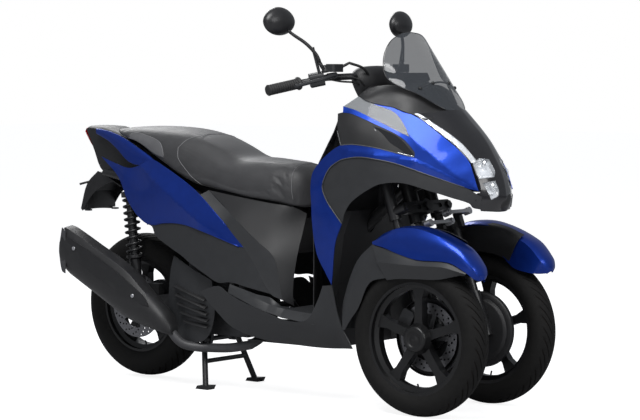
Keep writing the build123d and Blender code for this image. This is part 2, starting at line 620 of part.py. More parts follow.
export_step(exhaust.part, "parts/exhaust.step")

LOUVRE_Y = -168.0
LOUVRES = 5
with BuildPart() as radiator_cover:
    slab(((-414, 457), (-240, 381), (-262, 250), (-300, 170), (-411, 170), (-431, 394)), -104, -150)
    block(-370, -275, -105, -ARM_IN_Y, 250, 380)
    slab(((-392, 366), (-250, 318), (-262, 262), (-300, 215), (-360, 215)), -150, -158)
    for index in range(LOUVRES):
        drop = index * 25.0
        slab(((-394 + 0.4 * drop, 360 - drop), (-256 - 0.1 * drop, 316 - 0.8 * drop),
              (-256 - 0.1 * drop, 304 - 0.8 * drop), (-392 + 0.4 * drop, 346 - drop)), -152, LOUVRE_Y)
radiator_cover.part.label = "radiator_cover"
export_step(radiator_cover.part, "parts/radiator_cover.step")

# ---------------------------------------------------------------- stands
STAND_LEG_R = 10.0
STAND_FOOT_X = -286.0
with BuildPart() as centre_stand:
    rod((STAND_PIVOT[0], -96, STAND_PIVOT[1]), (STAND_PIVOT[0], 96, STAND_PIVOT[1]), STAND_PIN_R)
    for turn in (-1, 1):
        rod((STAND_PIVOT[0], turn * 76, STAND_PIVOT[1]), (STAND_PIVOT[0], turn * 98, STAND_PIVOT[1]), 15)
        rod((STAND_PIVOT[0], turn * 88, STAND_PIVOT[1]), (STAND_FOOT_X, turn * 132, 10), STAND_LEG_R)
        low, high = sorted((turn * 116, turn * 152))
        slab(((STAND_FOOT_X - 30, 0), (STAND_FOOT_X + 26, 0), (STAND_FOOT_X + 34, 16),
              (STAND_FOOT_X - 22, 12)),
             low, high)
    rod((STAND_PIVOT[0] + 21, -106, 92), (STAND_PIVOT[0] + 21, 106, 92), 8)
centre_stand.part.label = "centre_stand"
export_step(centre_stand.part, "parts/centre_stand.step")

SIDE_LEG = Vector(-213, 6, -36)
with BuildPart() as side_stand:
    pivot = Vector(*SIDE_PIVOT)
    rod(pivot - SIDE_AXIS * 7, pivot + SIDE_AXIS * 14, 14)
    rod(pivot + SIDE_AXIS * 5, pivot + SIDE_AXIS * 5 + SIDE_LEG, 8)
    tip = pivot + SIDE_AXIS * 5 + SIDE_LEG
    rod(tip, tip + Vector(-4, 2, -26), 15)
side_stand.part.label = "side_stand"
export_step(side_stand.part, "parts/side_stand.step")

# ---------------------------------------------------------------- front fenders
FENDER_WALL = 4.0
FENDER_INNER = 50.0       # fender half width on the inner side of the tyre
FENDER_BLUE = (
    # angle ahead of the axle, edge radius, crown radius, outer half width
    (37, 329, 336, 22), (45, 312, 338, 40), (60, 290, 345, 53), (84, 256, 352, 57),
    (99, 272, 357, 57), (110, 305, 353, 55), (118, 332, 347, 46),
)
SKIRT_SIDE = (
    # angle, low radius, high radius, outer half width
    (50, 276, 304, 47), (62, 222, 290, 54), (84, 194, 259, 58), (104, 196, 290, 58), (116, 208, 329, 54),
)
SKIRT_REAR = (
    # angle, edge radius, crown radius, outer half width
    (118.1, 215, 346.5, 53), (134, 238, 333, 52), (158, 232, 310, 46), (178, 280, 298, 34),
)


def fender_loft(rows, turn, mid_y, section):
    """Panel wrapped round a front wheel; each radial section gives its (across, radius) line."""
    sections = []
    for angle, *sizes in rows:
        across = (cos(radians(angle)), sin(radians(angle)))
        loop = shell_line([(turn * t, r) for t, r in section(*sizes)], turn * FENDER_WALL)
        with BuildSketch(Plane(origin=(FRONT_X, mid_y, FRONT_TYRE_R), x_dir=(0, 1, 0),
                               z_dir=(across[1], 0, -across[0]))) as profile:
            with BuildLine():
                Polyline(*loop, close=True)
            make_face()
        sections.append(profile.sketch)
    for first, second in zip(sections, sections[1:]):
        loft([first, second], ruled=True)


def arch_line(edge_r, crown_r, half):
    """Over the tyre from the outer edge to the inner one."""
    inner = min(half, FENDER_INNER)
    inner_r = max(edge_r, crown_r - 42)
    return ((half, edge_r), (half * 0.97, (edge_r + 2 * crown_r) / 3), (half * 0.55, crown_r - 3),
            (0, crown_r),
            (-inner * 0.6, crown_r - 4), (-inner, inner_r))[::-1]


def side_line(low_r, high_r, half):
    return ((half * 0.97, high_r), (half, low_r))


for name, turn in SIDES:
    mid_y = turn * FRONT_TRACK / 2
    with BuildPart() as fender:
        fender_loft(FENDER_BLUE, turn, mid_y, arch_line)
        low, high = sorted((turn * (FORK_Y + FORK_TUBE_R + 0.3), mid_y - turn * (FENDER_INNER - 3)))
        block(FRONT_X - 62, FRONT_X - 22, low, high, FRONT_TYRE_R + 250, FRONT_TYRE_R + 325)
    fender.part.label = f"fender_{name}"
    export_step(fender.part, f"parts/fender_{name}.step")

    with BuildPart() as skirt:
        fender_loft(SKIRT_REAR, turn, mid_y, arch_line)
        fender_loft(SKIRT_SIDE, turn, mid_y, side_line)
        add(fender.part, mode=Mode.SUBTRACT)
    skirt.part.label = f"fender_skirt_{name}"
    export_step(skirt.part, f"parts/fender_skirt_{name}.step")

# ---------------------------------------------------------------- body panels: right side, then mirrored
SIDE_PANELS = {
    # panel: sections of x, (half width, z) from low to high
    "upper_cowl": (
        (368, (206, 965), (204, 972), (202, 979)), (466, (194, 938), (192, 943), (190, 948)),
        (560, (184, 899), (182, 902), (180, 905)), (588, (181, 884), (179, 890), (176, 897)),
        (602, (180, 874), (166, 915), (138, 951)), (637, (179, 843), (161, 884), (125, 930)),
        (642, (178, 825), (160, 878), (124, 927)), (690, (161, 802), (147, 850), (112, 895)),
        (736, (142, 779), (132, 820), (103, 861)), (793, (118, 749), (110, 777), (92, 804)),
        (826, (94, 723), (92, 728), (90, 733))),
    "side_band": (
        (389.5, (238, 808), (236, 835), (233, 858)), (453, (231, 824), (226, 842), (222, 860)),
        (507, (226, 820), (221, 836), (216, 853)), (581, (206, 806), (202, 821), (198, 837)),
        (642, (186, 789), (182, 806), (178, 823)), (715, (165, 761), (160, 774), (154, 787)),
        (790, (122, 733), (120, 740), (118, 747)), (822, (98, 718.5), (97, 720.5), (96, 722.5))),
    "arch_panels": (
        (318, (241, 713), (242, 724), (242, 735)), (335, (241, 677), (242, 720), (242, 764)),
        (360, (240, 644), (242, 720), (241, 789)), (388, (238, 622), (240, 715), (238, 806)),
        (421, (233, 673), (234, 745), (234, 813)), (453, (229, 698), (230, 760), (231, 821)),
        (507, (222, 727), (224, 772), (226, 818)), (604, (201, 743), (200, 770), (200, 798)),
        (687, (175, 721), (174, 745), (172, 768)), (757, (143, 698), (142, 720), (140, 744)),
        (806, (113, 681), (112, 700), (110, 724))),
    "shoulder_panels": (
        (352, (214, 940), (210, 950), (206, 960)), (384, (231, 862), (222, 912), (207, 959)),
        (430, (228, 863), (219, 905), (202, 947)), (503, (216, 856), (208, 890), (190, 921)),
        (577, (198, 840), (193, 865), (182, 889)), (600, (192, 834), (187, 855), (180, 873)),
        (637, (180, 825), (179, 832), (178, 840))),
    "front_indicators": (
        (369, (197, 980.5), (197, 983.5), (196, 987)), (406, (195, 974), (185, 995), (170, 1014)),
        (466, (190, 951), (180, 972), (167, 991)), (543, (181, 917), (168, 942), (154, 964)),
        (572, (176, 905), (172, 915), (166, 925)), (586, (175, 900), (173, 903), (172, 906))),
    "screen_base": (
        (406, (168, 1016), (140, 1030), (108, 1040)), (466, (165, 993), (140, 1030), (112, 1052)),
        (543, (152, 966), (130, 1010), (98, 1050)), (600, (136, 963), (108, 990), (76, 1026)),
        (642, (112, 964), (84, 976), (48, 990)), (688, (54, 960), (48, 962), (42, 963))),
    "rear_blue_panels": (
        (-780, (126, 786), (126, 790), (125, 794)), (-700, (140, 752), (140, 762), (139, 773)),
        (-683, (143, 724), (142, 748), (140, 770)), (-621, (154, 631), (152, 700), (146, 760)),
        (-523, (167, 564), (166, 660), (160, 752)), (-510, (168, 563), (167, 660), (158, 786)),
        (-421, (181, 574), (176, 660), (165, 754)), (-329, (188, 572), (184, 640), (173, 710)),
        (-205, (200, 547), (196, 590), (190, 630)), (-131, (203, 526), (201, 550), (197, 572)),
        (-58, (203, 507), (203, 509), (202, 511))),
    "side_covers": (
        (-499, (170, 550), (169, 553), (168, 556)), (-482, (174, 528), (172, 546), (170, 562)),
        (-413, (184, 494), (183, 530), (181, 572)), (-297, (202, 442), (199, 500), (194, 564.5)),
        (-227, (208, 410), (205, 480), (198, 550)), (-161, (212, 383), (208, 455), (201, 533)),
        (-102, (214, 387), (209, 450), (202, 517)), (-53, (213, 379), (208, 440), (202, 505)),
        (6, (204, 363), (203, 395), (201, 432)), (55, (196, 356), (196, 357.5), (195, 359))),
    "seat_surround": (
        (-329, (172, 715), (164, 722), (150, 731)), (-253, (184, 665.5), (168, 679), (150, 692.5)),
        (-205, (189, 635), (170, 655), (150, 682)), (-131, (196, 576.5), (172, 630), (150, 672)),
        (-58, (201, 516), (178, 580), (148, 660)), (6, (200, 437), (176, 550), (136, 652)),
        (55, (194, 363), (170, 500), (124, 643)), (98, (182, 320), (160, 480), (106, 632)),
        (122, (150, 315), (135, 480), (78, 621))),
    "lower_skirts": (
        (-239, (213, 336), (214, 341), (215, 346)), (-148, (206, 268), (218, 320), (226, 371)),
        (-106, (200, 234), (215, 300), (227, 351)), (23, (190, 200), (208, 255), (228, 305)),
        (169, (182, 190), (205, 230), (228, 271)), (300, (181, 189), (200, 225), (224, 262)),
        (352, (182, 192), (200, 225), (221, 260))),
    "floorboard": (
        (-105, (223.5, 352), (217, 372), (213, 380)), (6, (223.5, 312), (212, 340), (208, 352)),
        (60, (223.5, 298), (205, 322), (199, 344)), (98, (223.5, 290), (205, 314), (187, 316)),
        (124, (223.5, 284), (200, 309), (156, 311))),
}
LEG_SHIELD = (
    # z, then (x, half width) from rear to front
    (404, (338, 225), (344, 225)), (446, (313, 227), (346, 226)), (498, (285, 228), (354, 229)),
    (536, (273, 231), (360, 233)), (606, (268, 235), (388, 236)), (648, (268, 238), (353, 240)),
    (680, (268, 239), (330, 241)), (720, (268, 240), (312, 242)), (753, (270, 240), (321, 242)),
    (785, (288, 240), (347, 241)), (807, (308, 239), (388, 238)), (826, (329, 238), (388, 236)),
    (858, (384, 234), (388, 233)),
)
INNER_SHIELD = (
    (192, (300, 0), (300, 150), (326, 174)), (262, (298, 0), (300, 150), (340, 214)),
    (404, (296, 0), (298, 140), (334, 219)), (560, (322, 0), (322, 140), (345, 226)),
    (640, (345, 0), (340, 120), (345, 228)),
)
KNEE_SHIELD = (
    (318, (232, 0), (236, 140), (255, 214)), (500, (228, 0), (234, 150), (264, 224)),
    (700, (232, 0), (240, 160), (266, 233)), (800, (262, 0), (268, 160), (292, 232)),
    (900, (296, 0), (306, 150), (338, 212)), (955, (322, 0), (334, 140), (350, 194)),
)
SEAT = (
    # x, low z, half width, top z
    (123, 664, 58, 704), (76, 648, 110, 776), (0, 660, 134, 781), (-94, 672, 150, 792),
    (-170, 684, 152, 800), (-253, 697, 150, 834), (-391, 767, 146, 880), (-455, 800, 140, 890),
    (-600, 840, 130, 896), (-738, 878, 106, 893),
)

PANEL_NODES = (
    # node, then the panels it holds
    ("front_fairing", ("upper_cowl", "side_band", "leg_shield")),
    ("fairing_trim", ("arch_panels", "shoulder_panels")),
    ("rear_blue_panels", ("rear_blue_panels",)),
    ("side_covers", ("side_covers", "lower_skirts")),
    ("seat_surround", ("seat_surround",)),
    ("floorboard", ("floorboard",)),
)
for name, panels in PANEL_NODES:
    with BuildPart() as panel:
        for table in panels:
            if table == "leg_shield":
                skin_z(LEG_SHIELD)
            else:
                skin_x(SIDE_PANELS[table])
        if name == "floorboard":
            skin_x(((122, (223.5, 284), (203, 309), (0, 312)), (264, (222, 268), (205, 300), (0, 304))))
        if name == "seat_surround":
            with BuildSketch(Plane(origin=(122, 0, 0), x_dir=(0, -1, 0), z_dir=(-1, 0, 0))):
                with BuildLine():
                    Polyline((150, 315), (135, 480), (78, 621), (-1, 621), (-1, 315), close=True)
                make_face()
            extrude(amount=WALL)
        both_sides()
        if name == "floorboard":
            rod(DOWN_TUBE_PATH[1], DOWN_TUBE_PATH[2], DOWN_TUBE_R + TUBE_PLAY, Mode.SUBTRACT)
    panel.part.label = name
    export_step(panel.part, f"parts/{name}.step")

with BuildPart() as inner_shield:
    skin_z(INNER_SHIELD)
    block(-60, 301, -175, 0, 189, 193)
    both_sides()
    rod(DOWN_TUBE_PATH[0], DOWN_TUBE_PATH[1], DOWN_TUBE_R + 5, Mode.SUBTRACT)
inner_shield.part.label = "inner_shield"
export_step(inner_shield.part, "parts/inner_shield.step")

with BuildPart() as knee_shield:
    skin_z(KNEE_SHIELD)
    both_sides()
knee_shield.part.label = "knee_shield"
export_step(knee_shield.part, "parts/knee_shield.step")

# ---------------------------------------------------------------- grab rails, tail and rear fender
RAIL_W = 20.0
TAIL_HALF = 74.0
GRAB_RAILS = (
    (-832, (106, 875), (106, 882), (105, 889)), (-780, (114, 855), (113, 868), (112, 881)),
    (-731, (126, 838), (126, 856), (124, 874)), (-643, (143, 798), (142, 822), (140, 845)),
    (-564, (152, 774), (150, 795), (148, 815)), (-524, (157, 757), (157, 775), (155, 797)),
)
with BuildPart() as grab_rails:
    skin_x(GRAB_RAILS, RAIL_W)
    rod((-660, -132, 828), (-660, -TAIL_HALF - 0.4, 828), 9)
    rod((-800, -98, 866), (-800, -TAIL_HALF - 0.4, 866), 9)
    both_sides()
grab_rails.part.label = "grab_rails"
export_step(grab_rails.part, "parts/grab_rails.step")

TAIL_OUTLINE = ((-925, 882), (-918, 899), (-838, 897), (-745, 872), (-650, 842), (-610, 818), (-604, 738),
                (-700, 726), (-735, 690), (-822, 730), (-848, 744), (-866, 806), (-872, 838))
with BuildPart() as tail_body:
    slab(TAIL_OUTLINE, -TAIL_HALF, TAIL_HALF)
tail_body.part.label = "tail_body"
export_step(tail_body.part, "parts/tail_body.step")

with BuildPart() as tail_lamp:
    slab(((-925.5, 882), (-872.5, 838), (-866.5, 806), (-880, 800), (-896, 838), (-936, 876)), -66, 66)
tail_lamp.part.label = "tail_lamp"
export_step(tail_lamp.part, "parts/tail_lamp.step")

PLATE_X = -905.0
PLATE_T = 3.0
PLATE_HOLE_R = 3.25
PLATE_PITCH = (120.0, 50.0)
PLATE_Z = 640.0
with BuildPart() as rear_fender:
    slab(((-736, 689.5), (-822, 729.5), (-849, 743), (-858, 738), (-902, 690), (-936, 596), (-926, 590),
          (-893, 676), (-848, 727), (-823, 721), (-740, 682)), -78, 78)
    for turn in (-1, 1):
        low, high = sorted((turn * 74, turn * 78))
        slab(((-848, 738), (-902, 690), (-936, 596), (-924, 590), (-868, 660), (-780, 700), (-736, 684)),
             low, high)
    slab(((PLATE_X - PLATE_T, 600), (PLATE_X - PLATE_T, 676), (PLATE_X + 1, 676), (PLATE_X + 1, 600)),
         -72, 72)
    slab(((PLATE_X, 600), (PLATE_X, 604), (PLATE_X + 12, 604), (PLATE_X + 12, 600)), -78, 78)
    with BuildSketch(Plane(origin=(PLATE_X - PLATE_T, 0, PLATE_Z), x_dir=(0, 1, 0), z_dir=(1, 0, 0))):
        with GridLocations(*PLATE_PITCH, 2, 2):
            Circle(PLATE_HOLE_R)
    extrude(amount=60, mode=Mode.SUBTRACT)
rear_fender.part.label = "rear_fender"
export_step(rear_fender.part, "parts/rear_fender.step")

# ---------------------------------------------------------------- seat and storage
SEAT_GAP = 0.5
HINGE_X, HINGE_Z, HINGE_R = 122.0, 645.0, 5.0
STORAGE_HALF = 98.0
with BuildPart() as seat:
    sections = []
    for x, low_z, half, top_z in SEAT:
        rise = top_z - low_z
        right = ((0.90 * half, low_z), (half, low_z + 0.35 * rise), (0.90 * half, low_z + 0.75 * rise),
                 (0.62 * half, top_z - 3))
        with BuildSketch(Plane(origin=(x, 0, 0), x_dir=(0, -1, 0), z_dir=(-1, 0, 0))) as profile:
            with BuildLine():
                Polyline(*right, (0, top_z), *[(-u, v) for u, v in right[::-1]], close=True)
            make_face()
        sections.append(profile.sketch)
    for first, second in zip(sections, sections[1:]):
        loft([first, second], ruled=True)
    rod((HINGE_X, -14, HINGE_Z), (HINGE_X, 14, HINGE_Z), HINGE_R + 4)
    block(HINGE_X - 9, HINGE_X + 6, -14, 14, HINGE_Z, 670)
    rod((HINGE_X, -15, HINGE_Z), (HINGE_X, 15, HINGE_Z), HINGE_R + FIT, Mode.SUBTRACT)
seat.part.label = "seat"
export_step(seat.part, "parts/seat.step")

BOX_FLOOR = ((70, 560), (40, 480), (-385, 480), (-470, 640))
with BuildPart() as storage_box:
    rim = [(x, low_z - SEAT_GAP) for x, low_z, half, top_z in SEAT[1:7]]
    slab(((80, 640), *BOX_FLOOR, (-470, 800), *rim[::-1]), -STORAGE_HALF, STORAGE_HALF)
    slab(((76, 720), (72, 640), (66, 563), (37, 484), (-382, 484), (-465, 643), (-465, 900)),
         -STORAGE_HALF + WALL, STORAGE_HALF - WALL, Mode.SUBTRACT)
    for turn in (-1, 1):
        low, high = sorted((turn * 15, turn * 21))
        slab(((73, 600), (92, 606), (131, 634), (131, 652), (113, 652), (76, 634)), low, high)
    rod((HINGE_X, -20, HINGE_Z), (HINGE_X, 20, HINGE_Z), HINGE_R)
storage_box.part.label = "storage_box"
export_step(storage_box.part, "parts/storage_box.step")

# ---------------------------------------------------------------- nose, lamps and screen
NOSE = (
    # z, x of the tip, x of the side edge, half width there
    (655, 852, 828, 82), (690, 866, 819, 101), (716, 864, 829, 88), (736, 861, 828, 86),
    (771, 850, 811, 86), (806, 832, 795, 87), (863, 797, 740, 98), (897, 770, 694, 107), (931, 735, 645, 118),
    (960, 700, 606, 128),
)
NOSE_WALL = 4.0
UPPER_LAMP = ((10, 816), (12, 772), (60, 780), (56, 828))
LOWER_LAMP = ((8, 760), (10, 694), (44, 698), (54, 764))
SIDE_LAMP = ((131, 958), (112, 958), (101, 931), (83, 863), (72, 809), (89, 809), (101, 863), (121, 931))
LAMP_GAP = 0.4


def nose_sections():
    sections = []
    for z, tip_x, side_x, half in NOSE:
        with BuildSketch(Plane.XY.offset(z)) as profile:
            with BuildLine():
                ThreePointArc((side_x, -half), (tip_x, 0), (side_x, half))
                Line((side_x, half), (side_x - 1, half - NOSE_WALL))
                ThreePointArc((side_x - 1, half - NOSE_WALL), (tip_x - NOSE_WALL, 0),
                              (side_x - 1, NOSE_WALL - half))
                Line((side_x - 1, NOSE_WALL - half), (side_x, -half))
            make_face()
        sections.append(profile.sketch)
    return sections


def window(outline, grow=0.0):
    """Prism along X through a lamp opening and its mirror image, outline in (half width, z)."""
    prisms = []
    for turn in (-1, 1):
        with BuildSketch(Plane(origin=(560, 0, 0), x_dir=(0, 1, 0), z_dir=(1, 0, 0))) as profile:
            with BuildLine():
                Polyline(*[(turn * y, z) for y, z in outline], close=True)
            make_face()
            if grow:
                offset(amount=grow, kind=Kind.INTERSECTION)
        prisms.append(profile.sketch)
    return prisms


with BuildPart() as indicators:
    skin_x(SIDE_PANELS["front_indicators"])
    both_sides()

with BuildPart() as screen_base:
    skin_x(SIDE_PANELS["screen_base"])
    both_sides()

with BuildPart() as nose_mask:
    sections = nose_sections()
    for first, second in zip(sections, sections[1:]):
        loft([first, second], ruled=True)
    nose_shell = nose_mask.part
    for outline in (UPPER_LAMP, LOWER_LAMP, SIDE_LAMP):
        for face in window(outline):
            extrude(face, amount=400, mode=Mode.SUBTRACT)
    add(screen_base.part)
nose_mask.part.label = "nose_mask"
export_step(nose_mask.part, "parts/nose_mask.step")

with BuildPart() as lamp_prisms:
    for outline in (UPPER_LAMP, LOWER_LAMP, SIDE_LAMP):
        for face in window(outline, -LAMP_GAP):
            extrude(face, amount=400)
with BuildPart() as front_lamps:
    add(nose_shell)
    add(lamp_prisms.part, mode=Mode.INTERSECT)
    add(indicators.part)
front_lamps.part.label = "front_lamps"
export_step(front_lamps.part, "parts/front_lamps.step")

SCREEN_R = 165.0
SCREEN_T = 4.0
SCREEN_FOOT = (684.0, 971.0)
SCREEN_RAKE = (-186.0, 252.0)
SCREEN_HALF = ((0, 971), (52, 974), (106, 1020), (150, 1072), (141, 1130), (108, 1186), (60, 1215),
               (0, 1223))
with BuildPart() as windscreen:
    foot_x, foot_z = SCREEN_FOOT
    centre_x = foot_x - SCREEN_R
    with BuildSketch(Plane.XY.offset(foot_z - 20)):
        with Locations((centre_x + 20 * 186 / 252, 0)):
            Circle(SCREEN_R)
            Circle(SCREEN_R - SCREEN_T, mode=Mode.SUBTRACT)
    extrude(amount=400, dir=(SCREEN_RAKE[0], 0, SCREEN_RAKE[1]))
    with BuildSketch(Plane(origin=(300, 0, 0), x_dir=(0, 1, 0), z_dir=(1, 0, 0))):
        with BuildLine():
            Polyline(*SCREEN_HALF, *[(-y, z) for y, z in SCREEN_HALF[-2:0:-1]], close=True)
        make_face()
    extrude(amount=500, mode=Mode.INTERSECT)
    split(bisect_by=Plane(origin=(440, 0, 1100), z_dir=(252, 0, 186)))
windscreen.part.label = "windscreen"
export_step(windscreen.part, "parts/windscreen.step")

DASH = (
    (440, (150, 985), (110, 1000), (0, 1004)), (470, (150, 985), (110, 1030), (0, 1046)),
    (520, (140, 975), (95, 1052), (0, 1070)), (575, (120, 965), (80, 1030), (0, 1052)),
)
with BuildPart() as dash:
    skin_x(DASH)
    both_sides()
    with BuildSketch(Plane(origin=(470, 0, 1044), x_dir=(0, 1, 0), z_dir=(-0.45, 0, 0.9))):
        with Locations((0, -30)):
            RectangleRounded(150, 66, 20)
    extrude(amount=22)
dash.part.label = "dash"
export_step(dash.part, "parts/dash.step")

# ---------------------------------------------------------------- handlebar furniture
with BuildPart() as bar_cowl:
    with BuildSketch(Plane(origin=(352, 0, 1014), x_dir=(1, 0, 0), z_dir=(-0.2, 0, 1))):
        RectangleRounded(92, 176, 34)
    with BuildSketch(Plane(origin=(338, 0, 1078), x_dir=(1, 0, 0), z_dir=(-0.2, 0, 1))):
        RectangleRounded(112, 200, 40)
    with BuildSketch(Plane(origin=(326, 0, 1108), x_dir=(1, 0, 0), z_dir=(-0.2, 0, 1))):
        RectangleRounded(70, 150, 34)
    loft()
    add(handlebar.part, mode=Mode.SUBTRACT)
bar_cowl.part.label = "bar_cowl"
export_step(bar_cowl.part, "parts/bar_cowl.step")

with BuildPart() as controls:
    perch_dir = (GRIP_START - Vector(*BAR_POINTS[-3])).normalized()
    inner = Vector(*BAR_POINTS[-3]) + perch_dir * 8
    inner = Vector(inner.X, -inner.Y, inner.Z)
    perch_dir = Vector(perch_dir.X, -perch_dir.Y, perch_dir.Z)
    with BuildSketch(Plane(origin=inner, x_dir=(1, 0, 0), z_dir=perch_dir)):
        RectangleRounded(40, 44, 10)
    extrude(amount=46)
    rod(inner + Vector(18, 0, 6), inner + Vector(52, -2, 10), 10)
    with BuildSketch(Plane(origin=inner + Vector(34, 14, 20), z_dir=(0, 0, 1))):
        RectangleRounded(36, 56, 8)
    extrude(amount=26)
    tube((inner + Vector(46, 4, 10), inner + Vector(58, -60, 0), inner + Vector(24, -176, -26)), 40, 6)
    rod(inner + Vector(0, -20, 10), inner + Vector(-6, -50, 100), 5)
    add(handlebar.part, mode=Mode.SUBTRACT)
    add(grips.part, mode=Mode.SUBTRACT)
    both_sides()
controls.part.label = "controls"
export_step(controls.part, "parts/controls.step")

MIRROR_STEM = ((295, 222, 1112), (284, 236, 1160), (262, 268, 1190), (222, 318, 1238))
MIRROR_MID = Vector(206, 330, 1258)
MIRROR_FACE = Vector(-1, -0.12, -0.06)
with BuildPart() as mirrors:
    for depth, long_r, short_r in ((10, 68, 47), (-6, 67, 46), (-24, 44, 26)):
        with BuildSketch(Plane(origin=MIRROR_MID + MIRROR_FACE.normalized() * depth, x_dir=(-0.12, 1, 0),
                               z_dir=MIRROR_FACE)):
            Ellipse(long_r, short_r)
    loft(ruled=True)
    tube(MIRROR_STEM, 24, 5)
    rod((300, 205, 1096), (295, 222, 1114), 8)
    add(controls.part, mode=Mode.SUBTRACT)
    both_sides()
mirrors.part.label = "mirrors"
export_step(mirrors.part, "parts/mirrors.step")

with BuildPart() as mirror_glass:
    with BuildSketch(Plane(origin=MIRROR_MID + MIRROR_FACE.normalized() * 10.2, x_dir=(-0.12, 1, 0),
                           z_dir=MIRROR_FACE)):
        Ellipse(60, 39)
    extrude(amount=1.5)
    both_sides()
mirror_glass.part.label = "mirror_glass"
export_step(mirror_glass.part, "parts/mirror_glass.step")

# ---------------------------------------------------------------- stays from the frame to the body panels
STAY_R = 5.0
NOSE_STAY = ((507, 0, 707), (612, 0, 746), (600, 0, 886), (758, 0, 899.2))
DASH_STAY = ((600, 0, 886), (566, 0, 918), (566, 0, 1049))
CROSS_STAYS = (
    # from, to: across the middle, from the right-hand panel's wall to the left-hand one's
    ((600, -170.5, 886), (600, 170.5, 886)),
    ((566, -165, 918), (566, 165, 918)),
)
SHIELD_STAYS = (
    # from the down tube to the inner shield ahead of it and to the knee shield behind it
    ((275, 0, 404), (295.5, 0, 404)),
    ((278, 0, 500), (231.8, 0, 500)),
)
SIDE_STAYS = (
    # from a frame rail to the floor, the seat surround and the rear panel, on the right side
    ((200, -118, 250), (200, -118, 301.7)),
    ((-250, -118, 600), (-213.7, -173.4, 649.7)),
    ((-330, -118, 672), (-330, -174.5, 672)),
)
with BuildPart() as stays:
    for start, end in SIDE_STAYS:
        rod(start, end, STAY_R)
    both_sides()
    for start, end in (*zip(NOSE_STAY, NOSE_STAY[1:]), *zip(DASH_STAY, DASH_STAY[1:]), *CROSS_STAYS,
                       *SHIELD_STAYS):
        rod(start, end, STAY_R)
with BuildPart() as frame_and_stays:
    add(main_frame.part)
    add(stays.part)
frame_and_stays.part.label = "main_frame"
export_step(frame_and_stays.part, "parts/main_frame.step")
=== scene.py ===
"""Leaning three-wheel scooter: its finishes, moulded bodywork, seat, tyres and lamps.

Frame: metres, +X ahead, +Y to the rider's left, +Z up, the floor at Z = 0. Tables hold millimetres.
"""
import json
import math

import bmesh
import bpy
import numpy as np
from bpy.props import FloatProperty, FloatVectorProperty, PointerProperty
from mathutils import Matrix, Vector
from mathutils.bvhtree import BVHTree
from mathutils.geometry import interpolate_bezier


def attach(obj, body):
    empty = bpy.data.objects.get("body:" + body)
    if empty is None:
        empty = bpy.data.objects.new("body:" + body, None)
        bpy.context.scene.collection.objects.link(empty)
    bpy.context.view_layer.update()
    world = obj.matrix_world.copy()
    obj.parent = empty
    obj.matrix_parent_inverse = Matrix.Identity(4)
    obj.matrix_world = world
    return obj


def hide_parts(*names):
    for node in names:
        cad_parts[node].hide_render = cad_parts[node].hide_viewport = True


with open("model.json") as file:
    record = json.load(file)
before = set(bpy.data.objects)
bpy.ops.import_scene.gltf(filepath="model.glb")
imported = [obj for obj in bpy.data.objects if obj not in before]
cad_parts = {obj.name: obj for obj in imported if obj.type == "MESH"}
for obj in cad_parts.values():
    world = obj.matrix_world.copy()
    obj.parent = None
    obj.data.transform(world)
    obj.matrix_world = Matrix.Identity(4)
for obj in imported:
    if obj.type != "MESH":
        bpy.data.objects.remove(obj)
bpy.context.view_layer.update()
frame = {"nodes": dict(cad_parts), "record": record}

bl_info = {
    "name": "Leaning three-wheel scooter",
    "version": (1, 0, 0),
    "blender": (4, 5, 0),
    "location": "3D View > Sidebar > Scooter",
    "description": "Builds the bodywork, seat, tyres and lamps of a leaning three-wheel scooter",
    "category": "Add Mesh",
}

MM = 0.001
SIDES = (-1, 1)                  # right and left
MERGE_GAP = 1e-6                 # m: points nearer than this are one point
CORNER_TURN = math.radians(48)   # an outline point that turns more than this stays sharp
CREASE_TURN = math.radians(38)   # an edge sharper than this gets a bevel
FRONT_AXLE = (675, 250)          # x, z
FRONT_TRACK = 385
REAR_AXLE = (-675, 261)


# ---------------------------------------------------------------- finishes
COAT_ROUGHNESS = 0.06
MOTTLE_RANGE = (0.3, 0.7)        # the part of the noise over which the colour changes
POLISH_SPREAD = 0.12             # how far the roughness strays, as a share of itself
GRAIN_DEPTH = 0.0006             # m


